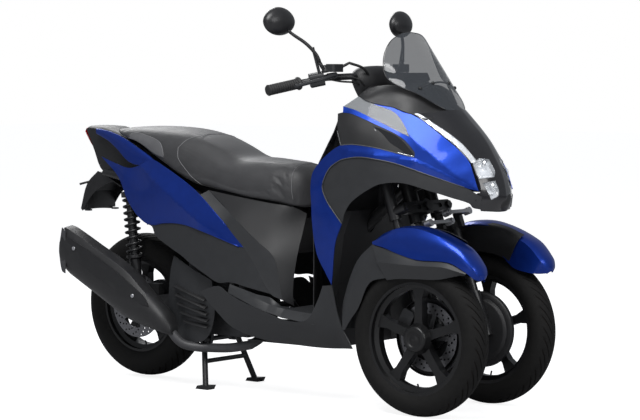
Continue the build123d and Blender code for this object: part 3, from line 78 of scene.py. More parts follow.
def finish(name, colour, rough, metal=0.0, coat=0.0, mottle=0.12, mottle_size=40.0, grain=0.0,
           grain_size=900.0, alpha=1.0, sheen=0.0, gloss=0.5, hide=False):
    """Material with a slightly uneven colour and a surface grain, both fixed to the piece."""
    material = bpy.data.materials.get(name)
    if material:
        return material
    material = bpy.data.materials.new(name)
    material.use_nodes = True
    nodes, links = material.node_tree.nodes, material.node_tree.links
    shader = nodes["Principled BSDF"]
    shader.inputs["Metallic"].default_value = metal
    shader.inputs["Specular IOR Level"].default_value = gloss
    shader.inputs["Coat Weight"].default_value = coat
    shader.inputs["Coat Roughness"].default_value = COAT_ROUGHNESS
    shader.inputs["Sheen Weight"].default_value = sheen
    shader.inputs["Alpha"].default_value = alpha
    place = nodes.new("ShaderNodeTexCoord")
    patch = nodes.new("ShaderNodeTexNoise")
    patch.inputs["Scale"].default_value = mottle_size
    patch.inputs["Detail"].default_value = 4.0
    links.new(place.outputs["Object"], patch.inputs["Vector"])
    shade = nodes.new("ShaderNodeValToRGB")
    for stop, position, change in zip(shade.color_ramp.elements, MOTTLE_RANGE, (-mottle, mottle)):
        stop.position = position
        stop.color = [*(min(c * (1 + change), 1) for c in colour), 1]
    links.new(patch.outputs["Fac"], shade.inputs["Fac"])
    links.new(shade.outputs["Color"], shader.inputs["Base Color"])
    polish = nodes.new("ShaderNodeMapRange")
    polish.inputs["To Min"].default_value = rough * (1 - POLISH_SPREAD)
    polish.inputs["To Max"].default_value = rough * (1 + POLISH_SPREAD)
    links.new(patch.outputs["Fac"], polish.inputs["Value"])
    links.new(polish.outputs["Result"], shader.inputs["Roughness"])
    if grain:
        if hide:
            fine = nodes.new("ShaderNodeTexVoronoi")
            fine.feature = "DISTANCE_TO_EDGE"
            height = fine.outputs["Distance"]
        else:
            fine = nodes.new("ShaderNodeTexNoise")
            fine.inputs["Detail"].default_value = 3.0
            height = fine.outputs["Fac"]
        fine.inputs["Scale"].default_value = grain_size
        links.new(place.outputs["Object"], fine.inputs["Vector"])
        bump = nodes.new("ShaderNodeBump")
        bump.inputs["Strength"].default_value = grain
        bump.inputs["Distance"].default_value = GRAIN_DEPTH
        links.new(height, bump.inputs["Height"])
        links.new(bump.outputs["Normal"], shader.inputs["Normal"])
    return material


FINISHES = {
    # colour, roughness, then what differs from the usual
    "paint_blue": ((0.005, 0.036, 0.30), 0.36,
                   dict(metal=0.8, coat=0.3, mottle=0.05, grain=0.02, grain_size=2400)),
    "moulding": ((0.019, 0.020, 0.022), 0.50, dict(mottle=0.08, grain=0.22, grain_size=1500)),
    "moulding_dark": ((0.010, 0.010, 0.011), 0.48, dict(mottle=0.10, grain=0.25, grain_size=1300)),
    # bead: a lighter grey than the moulding, a painted highlight standing for the light that the panels'
    # rounded edges catch
    "bead": ((0.085, 0.088, 0.092), 0.42, dict(metal=0.3, mottle=0.06)),
    "gloss_black": ((0.010, 0.010, 0.012), 0.16, dict(coat=0.6, mottle=0.05)),
    "satin_black": ((0.012, 0.012, 0.013), 0.36, dict(mottle=0.12, grain=0.08, grain_size=700)),
    "wheel_black": ((0.006, 0.006, 0.0065), 0.34,
                    dict(mottle=0.12, grain=0.05, grain_size=700, gloss=0.4)),
    "cast_dark": ((0.060, 0.061, 0.064), 0.50,
                  dict(metal=0.75, mottle=0.2, grain=0.35, grain_size=500)),
    "steel": ((0.52, 0.53, 0.55), 0.30,
              dict(metal=1.0, mottle=0.08, mottle_size=220, grain=0.10, grain_size=900)),
    "disc_steel": ((0.20, 0.20, 0.21), 0.42, dict(metal=1.0, mottle=0.1, mottle_size=220)),
    "chrome": ((0.80, 0.81, 0.83), 0.10, dict(metal=1.0, mottle=0.03, mottle_size=120)),
    "tyre_rubber": ((0.0075, 0.0072, 0.007), 0.75,
                    dict(mottle=0.22, mottle_size=60, grain=0.3, grain_size=420, gloss=0.2)),
    "groove": ((0.010, 0.007, 0.005), 0.85, dict(mottle=0.3, mottle_size=90, gloss=0.1)),
    "soft_rubber": ((0.014, 0.014, 0.014), 0.66, dict(mottle=0.12, grain=0.25, grain_size=800)),
    "seat_hide": ((0.033, 0.033, 0.035), 0.50,
                  dict(mottle=0.12, mottle_size=25, grain=0.4, grain_size=520, sheen=0.12, hide=True)),
    "seat_insert": ((0.10, 0.10, 0.105), 0.55,
                    dict(mottle=0.10, grain=0.4, grain_size=520, sheen=0.1, hide=True)),
    "thread": ((0.16, 0.16, 0.165), 0.6, dict(mottle=0.15, grain=0.2)),
    "exhaust_black": ((0.013, 0.013, 0.014), 0.50, dict(mottle=0.18, grain=0.30, grain_size=1100)),
    "exhaust_grey": ((0.045, 0.045, 0.048), 0.46, dict(mottle=0.12, grain=0.25, grain_size=1100)),
    "lens": ((0.80, 0.84, 0.88), 0.05, dict(coat=0.4, mottle=0.02, alpha=0.22)),
    "reflector": ((0.86, 0.87, 0.90), 0.22, dict(metal=0.5, mottle=0.12, mottle_size=300)),
    "tail_red": ((0.30, 0.008, 0.010), 0.10, dict(coat=0.8, mottle=0.15, mottle_size=250)),
    "tinted": ((0.045, 0.050, 0.057), 0.04, dict(coat=0.3, mottle=0.03, alpha=0.60)),
    "mirror_face": ((0.86, 0.88, 0.90), 0.02, dict(metal=1.0, mottle=0.01)),
}


def finish_of(name):
    colour, rough, extras = FINISHES[name]
    if name == "paint_blue":
        colour = tuple(bpy.context.scene.scooter_colours.body)
    elif name == "moulding":
        colour = tuple(bpy.context.scene.scooter_colours.trim)
    return finish(name, colour, rough, **extras)


# ---------------------------------------------------------------- shaping helpers
def smooth_line(points, closed=True, steps=5):
    """Dense points of a smooth line through the given ones, which stays sharp where it turns sharply."""
    knots = [Vector(p) for p in points]
    count = len(knots)

    def sharp(k):
        if not closed and k in (0, count - 1):
            return True
        before, after = knots[k] - knots[k - 1], knots[(k + 1) % count] - knots[k]
        return before.length == 0 or after.length == 0 or before.angle(after) > CORNER_TURN

    line = []
    for k in range(count if closed else count - 1):
        ahead = (k + 1) % count
        a, b = knots[k], knots[ahead]
        reach = (b - a).length / 3
        leave = (b - a) / 3 if sharp(k) else (b - knots[k - 1]).normalized() * reach
        arrive = (b - a) / 3 if sharp(ahead) else (knots[(ahead + 1) % count] - a).normalized() * reach
        line += interpolate_bezier(a, a + leave, b - arrive, b, steps + 1)[:-1]
    if not closed:
        line.append(knots[-1])
    return line


SHEET_SLACK = 2e-4     # how far the sheet may pass beside its points, which keeps it from rippling


def height_over(points):
    """Smooth height over a plane, near rows of (u, v, height): a thin bent sheet."""
    rows = np.array([tuple(p)[:3] for p in points], float) * MM

    def bend(a, b):
        gap = ((a[:, None, :] - b[None, :, :]) ** 2).sum(-1)
        return gap * np.log(gap + 1e-12)

    flat, count = rows[:, :2], len(rows)
    system = np.zeros((count + 3, count + 3))
    system[:count, :count] = bend(flat, flat) + SHEET_SLACK * np.eye(count)
    system[:count, count] = 1
    system[:count, count + 1:] = flat
    system[count:, :count] = system[:count, count:].T
    weights = np.linalg.lstsq(system, np.append(rows[:, 2], (0, 0, 0)), rcond=None)[0]

    def height(u, v):
        where = np.column_stack((u, v))
        return bend(where, flat) @ weights[:count] + weights[count] + where @ weights[count + 1:]

    return height


FACES = {
    # a panel's (u, v, height) as x, y, z, and the way it faces
    "side": (lambda u, v, h: (u, -h, v), Vector((0, -1, 0))),
    "front": (lambda u, v, h: (h, u, v), Vector((1, 0, 0))),
    "back": (lambda u, v, h: (h, u, v), Vector((-1, 0, 0))),
}


def inside(u, v, outline):
    """Whether a point is within a closed outline."""
    within = False
    for (u0, v0), (u1, v1) in zip(outline, outline[1:] + outline[:1]):
        if (v0 > v) != (v1 > v) and u < u0 + (v - v0) * (u1 - u0) / (v1 - v0):
            within = not within
    return within


def of_kind(geom, kind):
    """The verts, edges or faces of a mixed list."""
    return [g for g in geom if isinstance(g, kind)]


def face_out(bm, faces, way):
    """Turns an open sheet to face a given way."""
    bm.normal_update()
    if sum((f.normal * f.calc_area() for f in faces), Vector()).dot(way) < 0:
        bmesh.ops.reverse_faces(bm, faces=faces)


def add_other_side(bm):
    """The same shape again on the left side."""
    twin = bmesh.ops.duplicate(bm, geom=[*bm.verts, *bm.edges, *bm.faces])["geom"]
    bmesh.ops.scale(bm, vec=(1, -1, 1), verts=of_kind(twin, bmesh.types.BMVert))
    bmesh.ops.reverse_faces(bm, faces=of_kind(twin, bmesh.types.BMFace))


def across(p0, p1):
    """The way square to a line in the plane."""
    return Vector((p0[1] - p1[1], p1[0] - p0[0], 0)).normalized()


def cut(bm, geom, at, way):
    """Divides what a line through at crosses, and gives all of it back."""
    return bmesh.ops.bisect_plane(bm, geom=geom, dist=MERGE_GAP, plane_co=at, plane_no=way)["geom"]


def cut_hole(bm, geom, hole, margin):
    """Cuts an outline out of a flat sheet, with cuts that reach a little past it."""
    low = Vector((min(p[0] for p in hole) - margin, min(p[1] for p in hole) - margin)) * MM
    high = Vector((max(p[0] for p in hole) + margin, max(p[1] for p in hole) + margin)) * MM
    geom = set(geom)
    for p0, p1 in zip(hole, hole[1:] + hole[:1]):
        middles = {f: f.calc_center_median() for f in of_kind(geom, bmesh.types.BMFace)}
        near = {f for f, mid in middles.items() if low.x < mid.x < high.x and low.y < mid.y < high.y}
        near |= {e for f in near for e in f.edges} | {q for f in near for q in f.verts}
        geom |= set(cut(bm, list(near), (p0[0] * MM, p0[1] * MM, 0), across(p0, p1)))
    middles = {f: f.calc_center_median() for f in of_kind(geom, bmesh.types.BMFace)}
    gone = [f for f, mid in middles.items() if inside(mid.x / MM, mid.y / MM, hole)]
    bmesh.ops.delete(bm, geom=gone, context="FACES")
    return [g for g in geom if g.is_valid]


def patch(bm, edge, crown=(), face="side", cell=14.0, lift=0.0, bows=(), holes=()):
    """Panel cut to an outline, divided into cells and pressed to the height of its edge and crown points.

    bows are ridges: two points in the plane, the height in mm and the reach in mm. holes are outlines that
    are cut out.
    """
    place, way = FACES[face]
    outline = smooth_line(edge)
    whole = bm.faces.new([bm.verts.new((p.x * MM, p.y * MM, 0)) for p in outline])
    geom = [whole, *whole.edges, *whole.verts]
    u_all, v_all = [p.x for p in outline], [p.y for p in outline]
    cuts = [((u * MM, 0, 0), (1, 0, 0)) for u in np.arange(min(u_all) + cell / 2, max(u_all), cell)]
    cuts += [((0, v * MM, 0), (0, 1, 0)) for v in np.arange(min(v_all) + cell / 2, max(v_all), cell)]
    cuts += [((p0[0] * MM, p0[1] * MM, 0), across(p0, p1)) for p0, p1, rise, reach in bows]
    for at, square in cuts:
        geom = cut(bm, geom, at, square)
    for hole in holes:
        geom = cut_hole(bm, geom, hole, cell)
    verts = of_kind(geom, bmesh.types.BMVert)
    u, v = np.array([p.co.x for p in verts]), np.array([p.co.y for p in verts])
    height = height_over([*edge, *crown])(u, v) + lift * MM
    for (u0, v0), (u1, v1), rise, reach in bows:
        along = Vector((u1 - u0, v1 - v0)) * MM
        share = ((u - u0 * MM) * along.x + (v - v0 * MM) * along.y) / along.length_squared
        share = np.clip(share, 0, 1)
        away = np.hypot(u - u0 * MM - share * along.x, v - v0 * MM - share * along.y)
        height = height + rise * MM * np.exp(-away / (reach * MM))
    for vert, raised in zip(verts, height):
        vert.co = place(vert.co.x, vert.co.y, raised)
    face_out(bm, of_kind(geom, bmesh.types.BMFace), way)


def skin(bm, rows, way=None, closed=False, steps=(4, 4)):
    """Smooth surface through rows of points: a grid laid over them."""
    dense = [smooth_line(row, closed=closed, steps=steps[1]) for row in rows]
    columns = [smooth_line(points, closed=False, steps=steps[0]) for points in zip(*dense)]
    if closed:
        columns.append(columns[0])
    long, wide = len(columns[0]) - 1, len(columns) - 1
    grid = bmesh.ops.create_grid(bm, x_segments=long, y_segments=wide, size=0.5)["verts"]
    for vert in grid:
        along, over = round((vert.co.x + 0.5) * long), round((vert.co.y + 0.5) * wide)
        vert.co = columns[over][along] * MM
    faces = list({f for vert in grid for f in vert.link_faces})
    if closed:
        bmesh.ops.remove_doubles(bm, verts=grid, dist=1e-5)
        faces = [f for f in faces if f.is_valid]
    if way is not None:
        face_out(bm, faces, way)


def fill_ends(bm):
    """Closes the open ends of a skin."""
    bmesh.ops.holes_fill(bm, edges=[e for e in bm.edges if e.is_boundary], sides=0)


def bar(bm, points, radius, closed_ends=True, steps=4, sides=12):
    """Round bar along a smooth line, of one radius or with one radius at each end."""
    line = smooth_line(points, closed=False, steps=steps)
    first_r, last_r = radius if isinstance(radius, tuple) else (radius, radius)
    rings = []
    up = Vector((0, 0, 1))
    for k, p in enumerate(line):
        ahead = (line[min(k + 1, len(line) - 1)] - line[max(k - 1, 0)]).normalized()
        side = ahead.cross(up if abs(ahead.z) < 0.95 else Vector((1, 0, 0))).normalized()
        turn = Matrix((side, ahead.cross(side), ahead)).transposed().to_4x4()
        r = (first_r + (last_r - first_r) * k / (len(line) - 1)) * MM
        at = Matrix.Translation(p * MM) @ turn
        rings.append(bmesh.ops.create_circle(bm, segments=sides, radius=r, matrix=at)["verts"])
    for first, second in zip(rings, rings[1:]):
        for k in range(sides):
            bm.faces.new((first[k], first[(k + 1) % sides], second[(k + 1) % sides], second[k]))
    if closed_ends:
        bm.faces.new(rings[0][::-1])
        bm.faces.new(rings[-1])


def turned(bm, centre, profile, steps=48, axis=(0, 1, 0)):
    """Shape turned about an axis through centre, from a profile of (along, radius)."""
    centre, axis = Vector(centre) * MM, Vector(axis).normalized()
    out = axis.cross(Vector((0, 0, 1)) if abs(axis.z) < 0.9 else Vector((1, 0, 0))).normalized()
    verts = [bm.verts.new(centre + axis * along * MM + out * r * MM) for along, r in profile]
    edges = [bm.edges.new(pair) for pair in zip(verts, verts[1:])]
    bmesh.ops.spin(bm, geom=verts + edges, cent=centre, axis=axis, angle=math.tau, steps=steps,
                   use_merge=True)
    bmesh.ops.remove_doubles(bm, verts=list(bm.verts), dist=MERGE_GAP)


def block(bm, low, high, edge=2.0, turn=None):
    """Box between two corners with rounded edges."""
    low, high = Vector(low) * MM, Vector(high) * MM
    place = Matrix.Translation((low + high) / 2) @ (turn or Matrix())
    size = high - low
    verts = bmesh.ops.create_cube(bm, size=1.0, matrix=place @ Matrix.Diagonal((*size, 1)))["verts"]
    edges = list({e for v in verts for e in v.link_edges})
    bmesh.ops.bevel(bm, geom=edges, offset=edge * MM, segments=2, profile=0.5, affect="EDGES", material=-1,
                    clamp_overlap=True)


def piece(name, bm, finish_name, body, replaces=(), wall=0.0, edge=1.0, recalc=False, extra=(),
          lined=False):
    """Ends a mesh: wall thickness, soft edges, finish, body and the plain parts that it stands for."""
    if recalc:
        bmesh.ops.remove_doubles(bm, verts=list(bm.verts), dist=MERGE_GAP)
        bmesh.ops.recalc_face_normals(bm, faces=list(bm.faces))
    mesh = bpy.data.meshes.new(name)
    bm.to_mesh(mesh)
    bm.free()
    mesh.shade_smooth()
    for one in (finish_name, *extra, *(("moulding_dark",) if lined else ())):
        mesh.materials.append(finish_of(one))
    obj = bpy.data.objects.new(name, mesh)
    bpy.context.scene.collection.objects.link(obj)
    if wall:
        shell = obj.modifiers.new("wall", "SOLIDIFY")
        shell.thickness = wall * MM
        shell.offset = -1
        shell.use_even_offset = False
        if lined:
            shell.material_offset = len(mesh.materials) - 1
    if edge:
        soft = obj.modifiers.new("soft_edges", "BEVEL")
        soft.width = edge * MM
        soft.segments = 2
        soft.limit_method = "ANGLE"
        soft.angle_limit = CREASE_TURN
        soft.harden_normals = True
    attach(obj, body)
    if replaces:
        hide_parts(*replaces)
    return obj


# ---------------------------------------------------------------- settings
class ScooterColours(bpy.types.PropertyGroup):
    body: FloatVectorProperty(name="Body colour", description="Paint of the body panels and fenders",
                              subtype="COLOR", size=3, min=0, max=1, default=(0.005, 0.036, 0.30))
    trim: FloatVectorProperty(name="Trim colour", description="Moulded dark panels", subtype="COLOR", size=3,
                              min=0, max=1, default=(0.019, 0.020, 0.022))
    floor: FloatVectorProperty(name="Floor colour", description="Floor and backdrop", subtype="COLOR", size=3,
                               min=0, max=1, default=(0.42, 0.42, 0.43))


class ScooterSizes(bpy.types.PropertyGroup):
    panel_wall: FloatProperty(name="Panel wall", description="Thickness of the moulded panels",
                              unit="LENGTH", default=0.003, min=0.001, max=0.006)
    panel_cell: FloatProperty(name="Panel cell", description="Grid pitch of the panels' meshes",
                              unit="LENGTH", default=0.012, min=0.006, max=0.04)
    tread_depth: FloatProperty(name="Tread depth", description="Depth of the tyre grooves",
                               unit="LENGTH", default=0.0032, min=0.0, max=0.006)


def panel(name, finish_name, edge, replaces=(), **how):
    """One moulded panel on both sides."""
    sizes = bpy.context.scene.scooter_sizes
    bm = bmesh.new()
    patch(bm, edge, cell=sizes.panel_cell / MM, **how)
    add_other_side(bm)
    piece(name, bm, finish_name, "chassis", replaces, wall=sizes.panel_wall / MM, lined=True)


def beads(name, finish_name, lines, radius, proud=1.0):
    """Round beads along panel edges on both sides."""
    bm = bmesh.new()
    for line in lines:
        bar(bm, [(x, -half - proud, z) for x, z, half in line], radius, sides=8)
    add_other_side(bm)
    piece(name, bm, finish_name, "chassis", edge=0)


class Maker:
    """What every build button shares."""
    bl_options = {"REGISTER", "UNDO"}

    def execute(self, context):
        self.build(context)
        return {"FINISHED"}


# ---------------------------------------------------------------- front bodywork: (x, z, half width)
BAND_TOP = ((790, 748, 119), (715, 788, 155), (640, 823, 180), (577, 838, 198), (503, 854, 216),
            (426, 862, 227), (384, 859, 232))
BAND_LOW = ((346, 785, 241), (372, 803, 240), (397, 814, 238), (453, 822, 231), (507, 818, 226),
            (581, 804, 204), (685, 770, 172), (792, 731, 121))
NOSE_TIP = (830, 718, 93)
LEG_REAR = ((329, 826, 237), (281, 778, 241), (268, 745, 241), (267, 665, 239), (268, 585, 233),
            (275, 531, 230), (287, 490, 228), (313, 446, 226))
LEG_TOE = (340, 404, 225)
LEG_FRONT = ((360, 536, 233), (391, 606, 236))
ARCH_REAR = ((355, 648, 238), (331, 680, 240), (315, 720, 241), (325, 753, 242))
ARCH_OPENING = ((804, 680, 115), (757, 697, 143), (687, 720, 175), (604, 742, 201), (531, 737, 218),
                (493, 721, 225), (453, 697, 230), (421, 672, 233), (400, 640, 235))
SHOULDER_TOP = ((351, 960, 207), (372, 964, 206), (405, 960, 203), (487, 930, 195), (588, 886, 179),
                (637, 842, 177))
SHOULDER_REAR = (362, 905, 222)
LENS_LOW = ((367, 984, 198), (417, 971, 194), (483, 944, 189), (577, 903, 175), (614, 888, 168))
LENS_TOP = ((591, 920, 161), (543, 965, 154), (466, 992, 167), (406, 1016, 170))
COWL_TOP = ((530, 980, 150), (597, 958, 136), (645, 931, 125), (736, 863, 103), (793, 806, 92))
NOSE_CORNER = ((836, 700, 89), (830, 661, 90), (812, 666, 104))
# points on the panels' faces, then ridges: two points in the plane, height, reach
BAND_CROWN = ((300, 620, 240), (290, 720, 244), (310, 540, 235))
BAND_BOWS = (((384, 846), (640, 812), 3.0, 14), ((640, 812), (810, 736), 3.0, 12))
SHOULDER_CROWN = ((430, 905, 219), (503, 890, 208))
COWL_CROWN = ((637, 884, 161), (690, 850, 147), (736, 820, 132), (793, 777, 110))
COWL_BOWS = (((600, 905), (830, 720), 4.0, 16),)
UNDER = -1.5                # lift of a dark panel beside a painted one
BOWL_DEPTH = 10             # of the indicators' bowls, behind the lens
FLUTE = 10.0                # pitch of the bowls' flutes
FLUTE_DEPTH = 0.35          # as a share of the pitch


class SCOOTER_OT_front_panels(Maker, bpy.types.Operator):
    """Builds the painted and the moulded panels ahead of the rider"""
    bl_idname = "scooter.front_panels"
    bl_label = "Front panels"

    def build(self, context):
        panel("front_band", "paint_blue",
              (NOSE_TIP, *BAND_TOP, *LEG_REAR, LEG_TOE, *LEG_FRONT, *ARCH_REAR, *BAND_LOW),
              replaces=("front_fairing",), crown=BAND_CROWN, bows=BAND_BOWS)
        panel("arch_cover", "moulding", (LEG_FRONT[1], *ARCH_REAR, *BAND_LOW, *NOSE_CORNER, *ARCH_OPENING),
              replaces=("fairing_trim",), lift=UNDER)
        panel("shoulder_cover", "moulding_dark", (*SHOULDER_TOP, *BAND_TOP[2:], SHOULDER_REAR), lift=UNDER,
              crown=SHOULDER_CROWN)
        panel("upper_cowl", "paint_blue",
              (*LENS_LOW, *LENS_TOP[:3], *COWL_TOP, NOSE_TIP, *BAND_TOP[:3], *SHOULDER_TOP[:0:-1]),
              crown=COWL_CROWN, bows=COWL_BOWS)
        # round beads in the lighter bead finish along the dark panels' edges: a painted highlight on those
        # edges
        beads("edge_beads_painted_highlight", "bead",
              ((LEG_FRONT[1], *ARCH_REAR, *BAND_LOW), (*BAND_TOP[2:], SHOULDER_REAR)), 1.6)
        panel("indicator_lens", "lens", (*LENS_LOW, *LENS_TOP), lift=1.0, replaces=("front_lamps",))
        bm = bmesh.new()
        patch(bm, [(x, z, half - BOWL_DEPTH) for x, z, half in (*LENS_LOW, *LENS_TOP)], cell=FLUTE)
        for vert in bm.verts:
            vert.co.y += FLUTE_DEPTH * FLUTE * MM * (round(vert.co.x / MM / FLUTE) % 2)
        add_other_side(bm)
        piece("indicator_bowl", bm, "reflector", "chassis", wall=1.5, edge=0)


# ---------------------------------------------------------------- rear bodywork: (x, z, half width)
REAR_TOP = ((-507, 790, 156), (-421, 755, 166), (-329, 711, 175), (-266, 675, 183), (-205, 631, 191),
            (-131, 573, 198))
REAR_TIP = (-54, 506, 202)
REAR_LOW = ((-73, 508, 203), (-181, 538, 202), (-297, 566, 194), (-357, 574, 188), (-419, 573, 181),
            (-523, 563, 167))
REAR_BACK = ((-621, 630, 154), (-683, 723, 143), (-782, 792, 126))
RAIL_UNDER = ((-700, 771, 140), (-623, 757, 148), (-564, 769, 151))
REAR_CROWN = ((-450, 690, 181), (-350, 640, 191), (-250, 600, 199), (-170, 560, 203), (-560, 680, 166),
              (-560, 610, 165), (-650, 740, 150))
REAR_BOWS = (((-600, 792), (-246, 583), 11.0, 40),)
SIDE_TOE = (58, 355, 196)
SIDE_LOW = ((-500, 555, 170), (-482, 527, 174), (-413, 493, 184), (-339, 463, 196), (-297, 441, 202),
            (-227, 409, 208), (-161, 382, 212), (-102, 386, 214), (-26, 372, 211), SIDE_TOE)
SIDE_FRONT = ((6, 433, 202), (-21, 471, 203), (-53, 504, 203))
RIDGE = ((98, 335, 182), (80, 424, 184), (57, 482, 184), (-3, 528, 191), (-97, 596, 191), (-253, 690, 152))
BASE_FRONT = ((-94, 668, 148), (0, 655, 138), (81, 643, 112), (118, 621, 78), (122, 480, 135),
              (122, 315, 150))
SKIRT_TOP = ((-239, 347, 215), (-148, 372, 226), (-106, 352, 227), (-51, 329, 228), (66, 295, 228),
             (169, 272, 228), (240, 285, 226), (275, 340, 222), (300, 398, 221))
SKIRT_LOW = ((340, 402, 225), (383, 264, 224), (416, 206, 219), (394, 194, 184), (300, 189, 181),
             (169, 190, 182), (23, 199, 190), (-106, 233, 200), (-180, 290, 206))
SKIRT_CROWN = ((100, 240, 212), (300, 230, 205), (-60, 290, 218))


class SCOOTER_OT_rear_panels(Maker, bpy.types.Operator):
    """Builds the painted rear panels, the dark side covers and the lower skirts"""
    bl_idname = "scooter.rear_panels"
    bl_label = "Rear panels"

    def build(self, context):
        panel("rear_flank", "paint_blue", (*REAR_TOP, REAR_TIP, *REAR_LOW, *REAR_BACK, *RAIL_UNDER),
              replaces=("rear_blue_panels",), crown=REAR_CROWN, bows=REAR_BOWS)
        beads("rear_flank_lip", "paint_blue", (REAR_TOP, REAR_LOW), 2.0)
        panel("side_cover", "moulding", (*SIDE_LOW, *SIDE_FRONT, *REAR_LOW), lift=UNDER,
              replaces=("side_covers",))
        panel("seat_base_flank", "moulding", (*RIDGE, *REAR_TOP[3:], REAR_TIP, *SIDE_FRONT[::-1], SIDE_TOE),
              lift=UNDER, replaces=("seat_surround",))
        panel("seat_base", "moulding_dark", (*RIDGE, *BASE_FRONT), lift=UNDER - 0.5)
        panel("skirt", "moulding", (*SKIRT_TOP, *SKIRT_LOW), crown=SKIRT_CROWN)


# ---------------------------------------------------------------- nose, lamps and screen
NOSE = (
    # z, x of the tip, x of the side edge, half width there
    (655, 852, 828, 82), (690, 866, 819, 101), (716, 864, 829, 88), (736, 861, 828, 86),
    (771, 850, 811, 86), (806, 832, 795, 87), (863, 797, 740, 98), (897, 770, 694, 107),
    (931, 735, 645, 118), (960, 700, 606, 128),
)
NOSE_TOP = ((90, 966, 640), (50, 972, 676), (0, 974, 692))
UPPER_LAMP = ((27, 819), (36, 762), (83, 757), (84, 806), (60, 822))
LOWER_LAMP = ((35, 752), (32, 702), (58, 690), (79, 744))
SIDE_LAMP = ((132, 962), (122, 962), (106, 931), (91, 897), (80, 863), (69, 811), (87, 806), (98, 860),
             (108, 897), (119, 931))
LAMPS = (UPPER_LAMP, LOWER_LAMP, SIDE_LAMP)
LAMP_SINK = 0.6             # how far the lamps' deep points are drawn to the lamp's middle
LAMP_SHELLS = (
    # piece, finish, depth of its middle, lift of its edge
    ("lamp_bowls", "reflector", 22, -1.0), ("lamp_glass", "lens", -2, 0.2),
)
LAMP_UNITS = (
    # y, z and radius of the round units
    (35, 800, 17), (32, 730, 15),
)
UNIT_DEPTH, EYE_DEPTH, EYE_SMALLER = 20, 13, 5
CHIN = ((0, 650, 846), (66, 654, 826), (72, 672, 815), (100, 700, 812), (88, 712, 824), (0, 700, 862))
CHIN_CROWN = ((0, 675, 868), (50, 685, 850))
MASK_LIFT = 1.2
MASK_RIDGE = ((0, 690), (0, 960), 2.5, 9)
SCREEN_R = 165.0
SCREEN_HALF = 160.0
SCREEN_FOOT = (684.0, 971.0)
SCREEN_RAKE = (252, 0, 186)  # the way the screen faces
SCREEN_SLOPE = -SCREEN_RAKE[2] / SCREEN_RAKE[0]
SCREEN_EDGE = ((0, 971), (52, 974), (106, 1020), (150, 1072), (141, 1130), (108, 1186), (60, 1215), (0, 1223))
GRILLE = ((490, 920, 193), (519, 913, 190), (581, 886, 180), (630, 842, 177), (639, 827, 176),
          (598, 835, 184), (546, 854, 195))
ARM_TOP = ((406, 1044, 112), (466, 1052, 108), (543, 1050, 98), (600, 1026, 76), (642, 990, 48),
           (688, 964, 46))
ARM_LOW = ((640, 941, 118), (597, 960, 136), (530, 982, 150), (466, 995, 167), (406, 1018, 168))
ARM_CROWN = ((530, 1012, 140), (466, 1025, 152), (597, 992, 112))
BRACKET_LINE = ((0, 1062), (40, 1058), (80, 1046), (112, 1030))
BRACKET_FOOT = (
    # y, z and depth that give x, then the end's own y and z
    ((44, 1056, 7), (44, 1056)), ((40, 1000, 9), (38, 990)),
)
SCREWS = ((44, 1056), (96, 1040))
SCREW = ((0, 0), (0, 6), (6, 6), (8.5, 4), (9, 0))


def mirrored(half):
    """Closed outline from its right half, given from the middle round to the middle."""
    return [*half, *((-u, *rest) for u, *rest in half[::-1] if u)]


def nose_x(y, z):
    """The mask's x at a point across it."""
    rows = np.array(NOSE, float)
    tip, side, half = (np.interp(z, rows[:, 0], rows[:, k]) for k in (1, 2, 3))
    return tip - (tip - side) * (y / half) ** 2


def screen_x(y, z, inward=0.0):
    """The screen's x at a point across it: a raked cylinder."""
    foot_x, foot_z = SCREEN_FOOT
    bend = math.sqrt(SCREEN_R ** 2 - min(abs(y), SCREEN_HALF) ** 2)
    return foot_x + SCREEN_SLOPE * (z - foot_z) - SCREEN_R + bend - inward


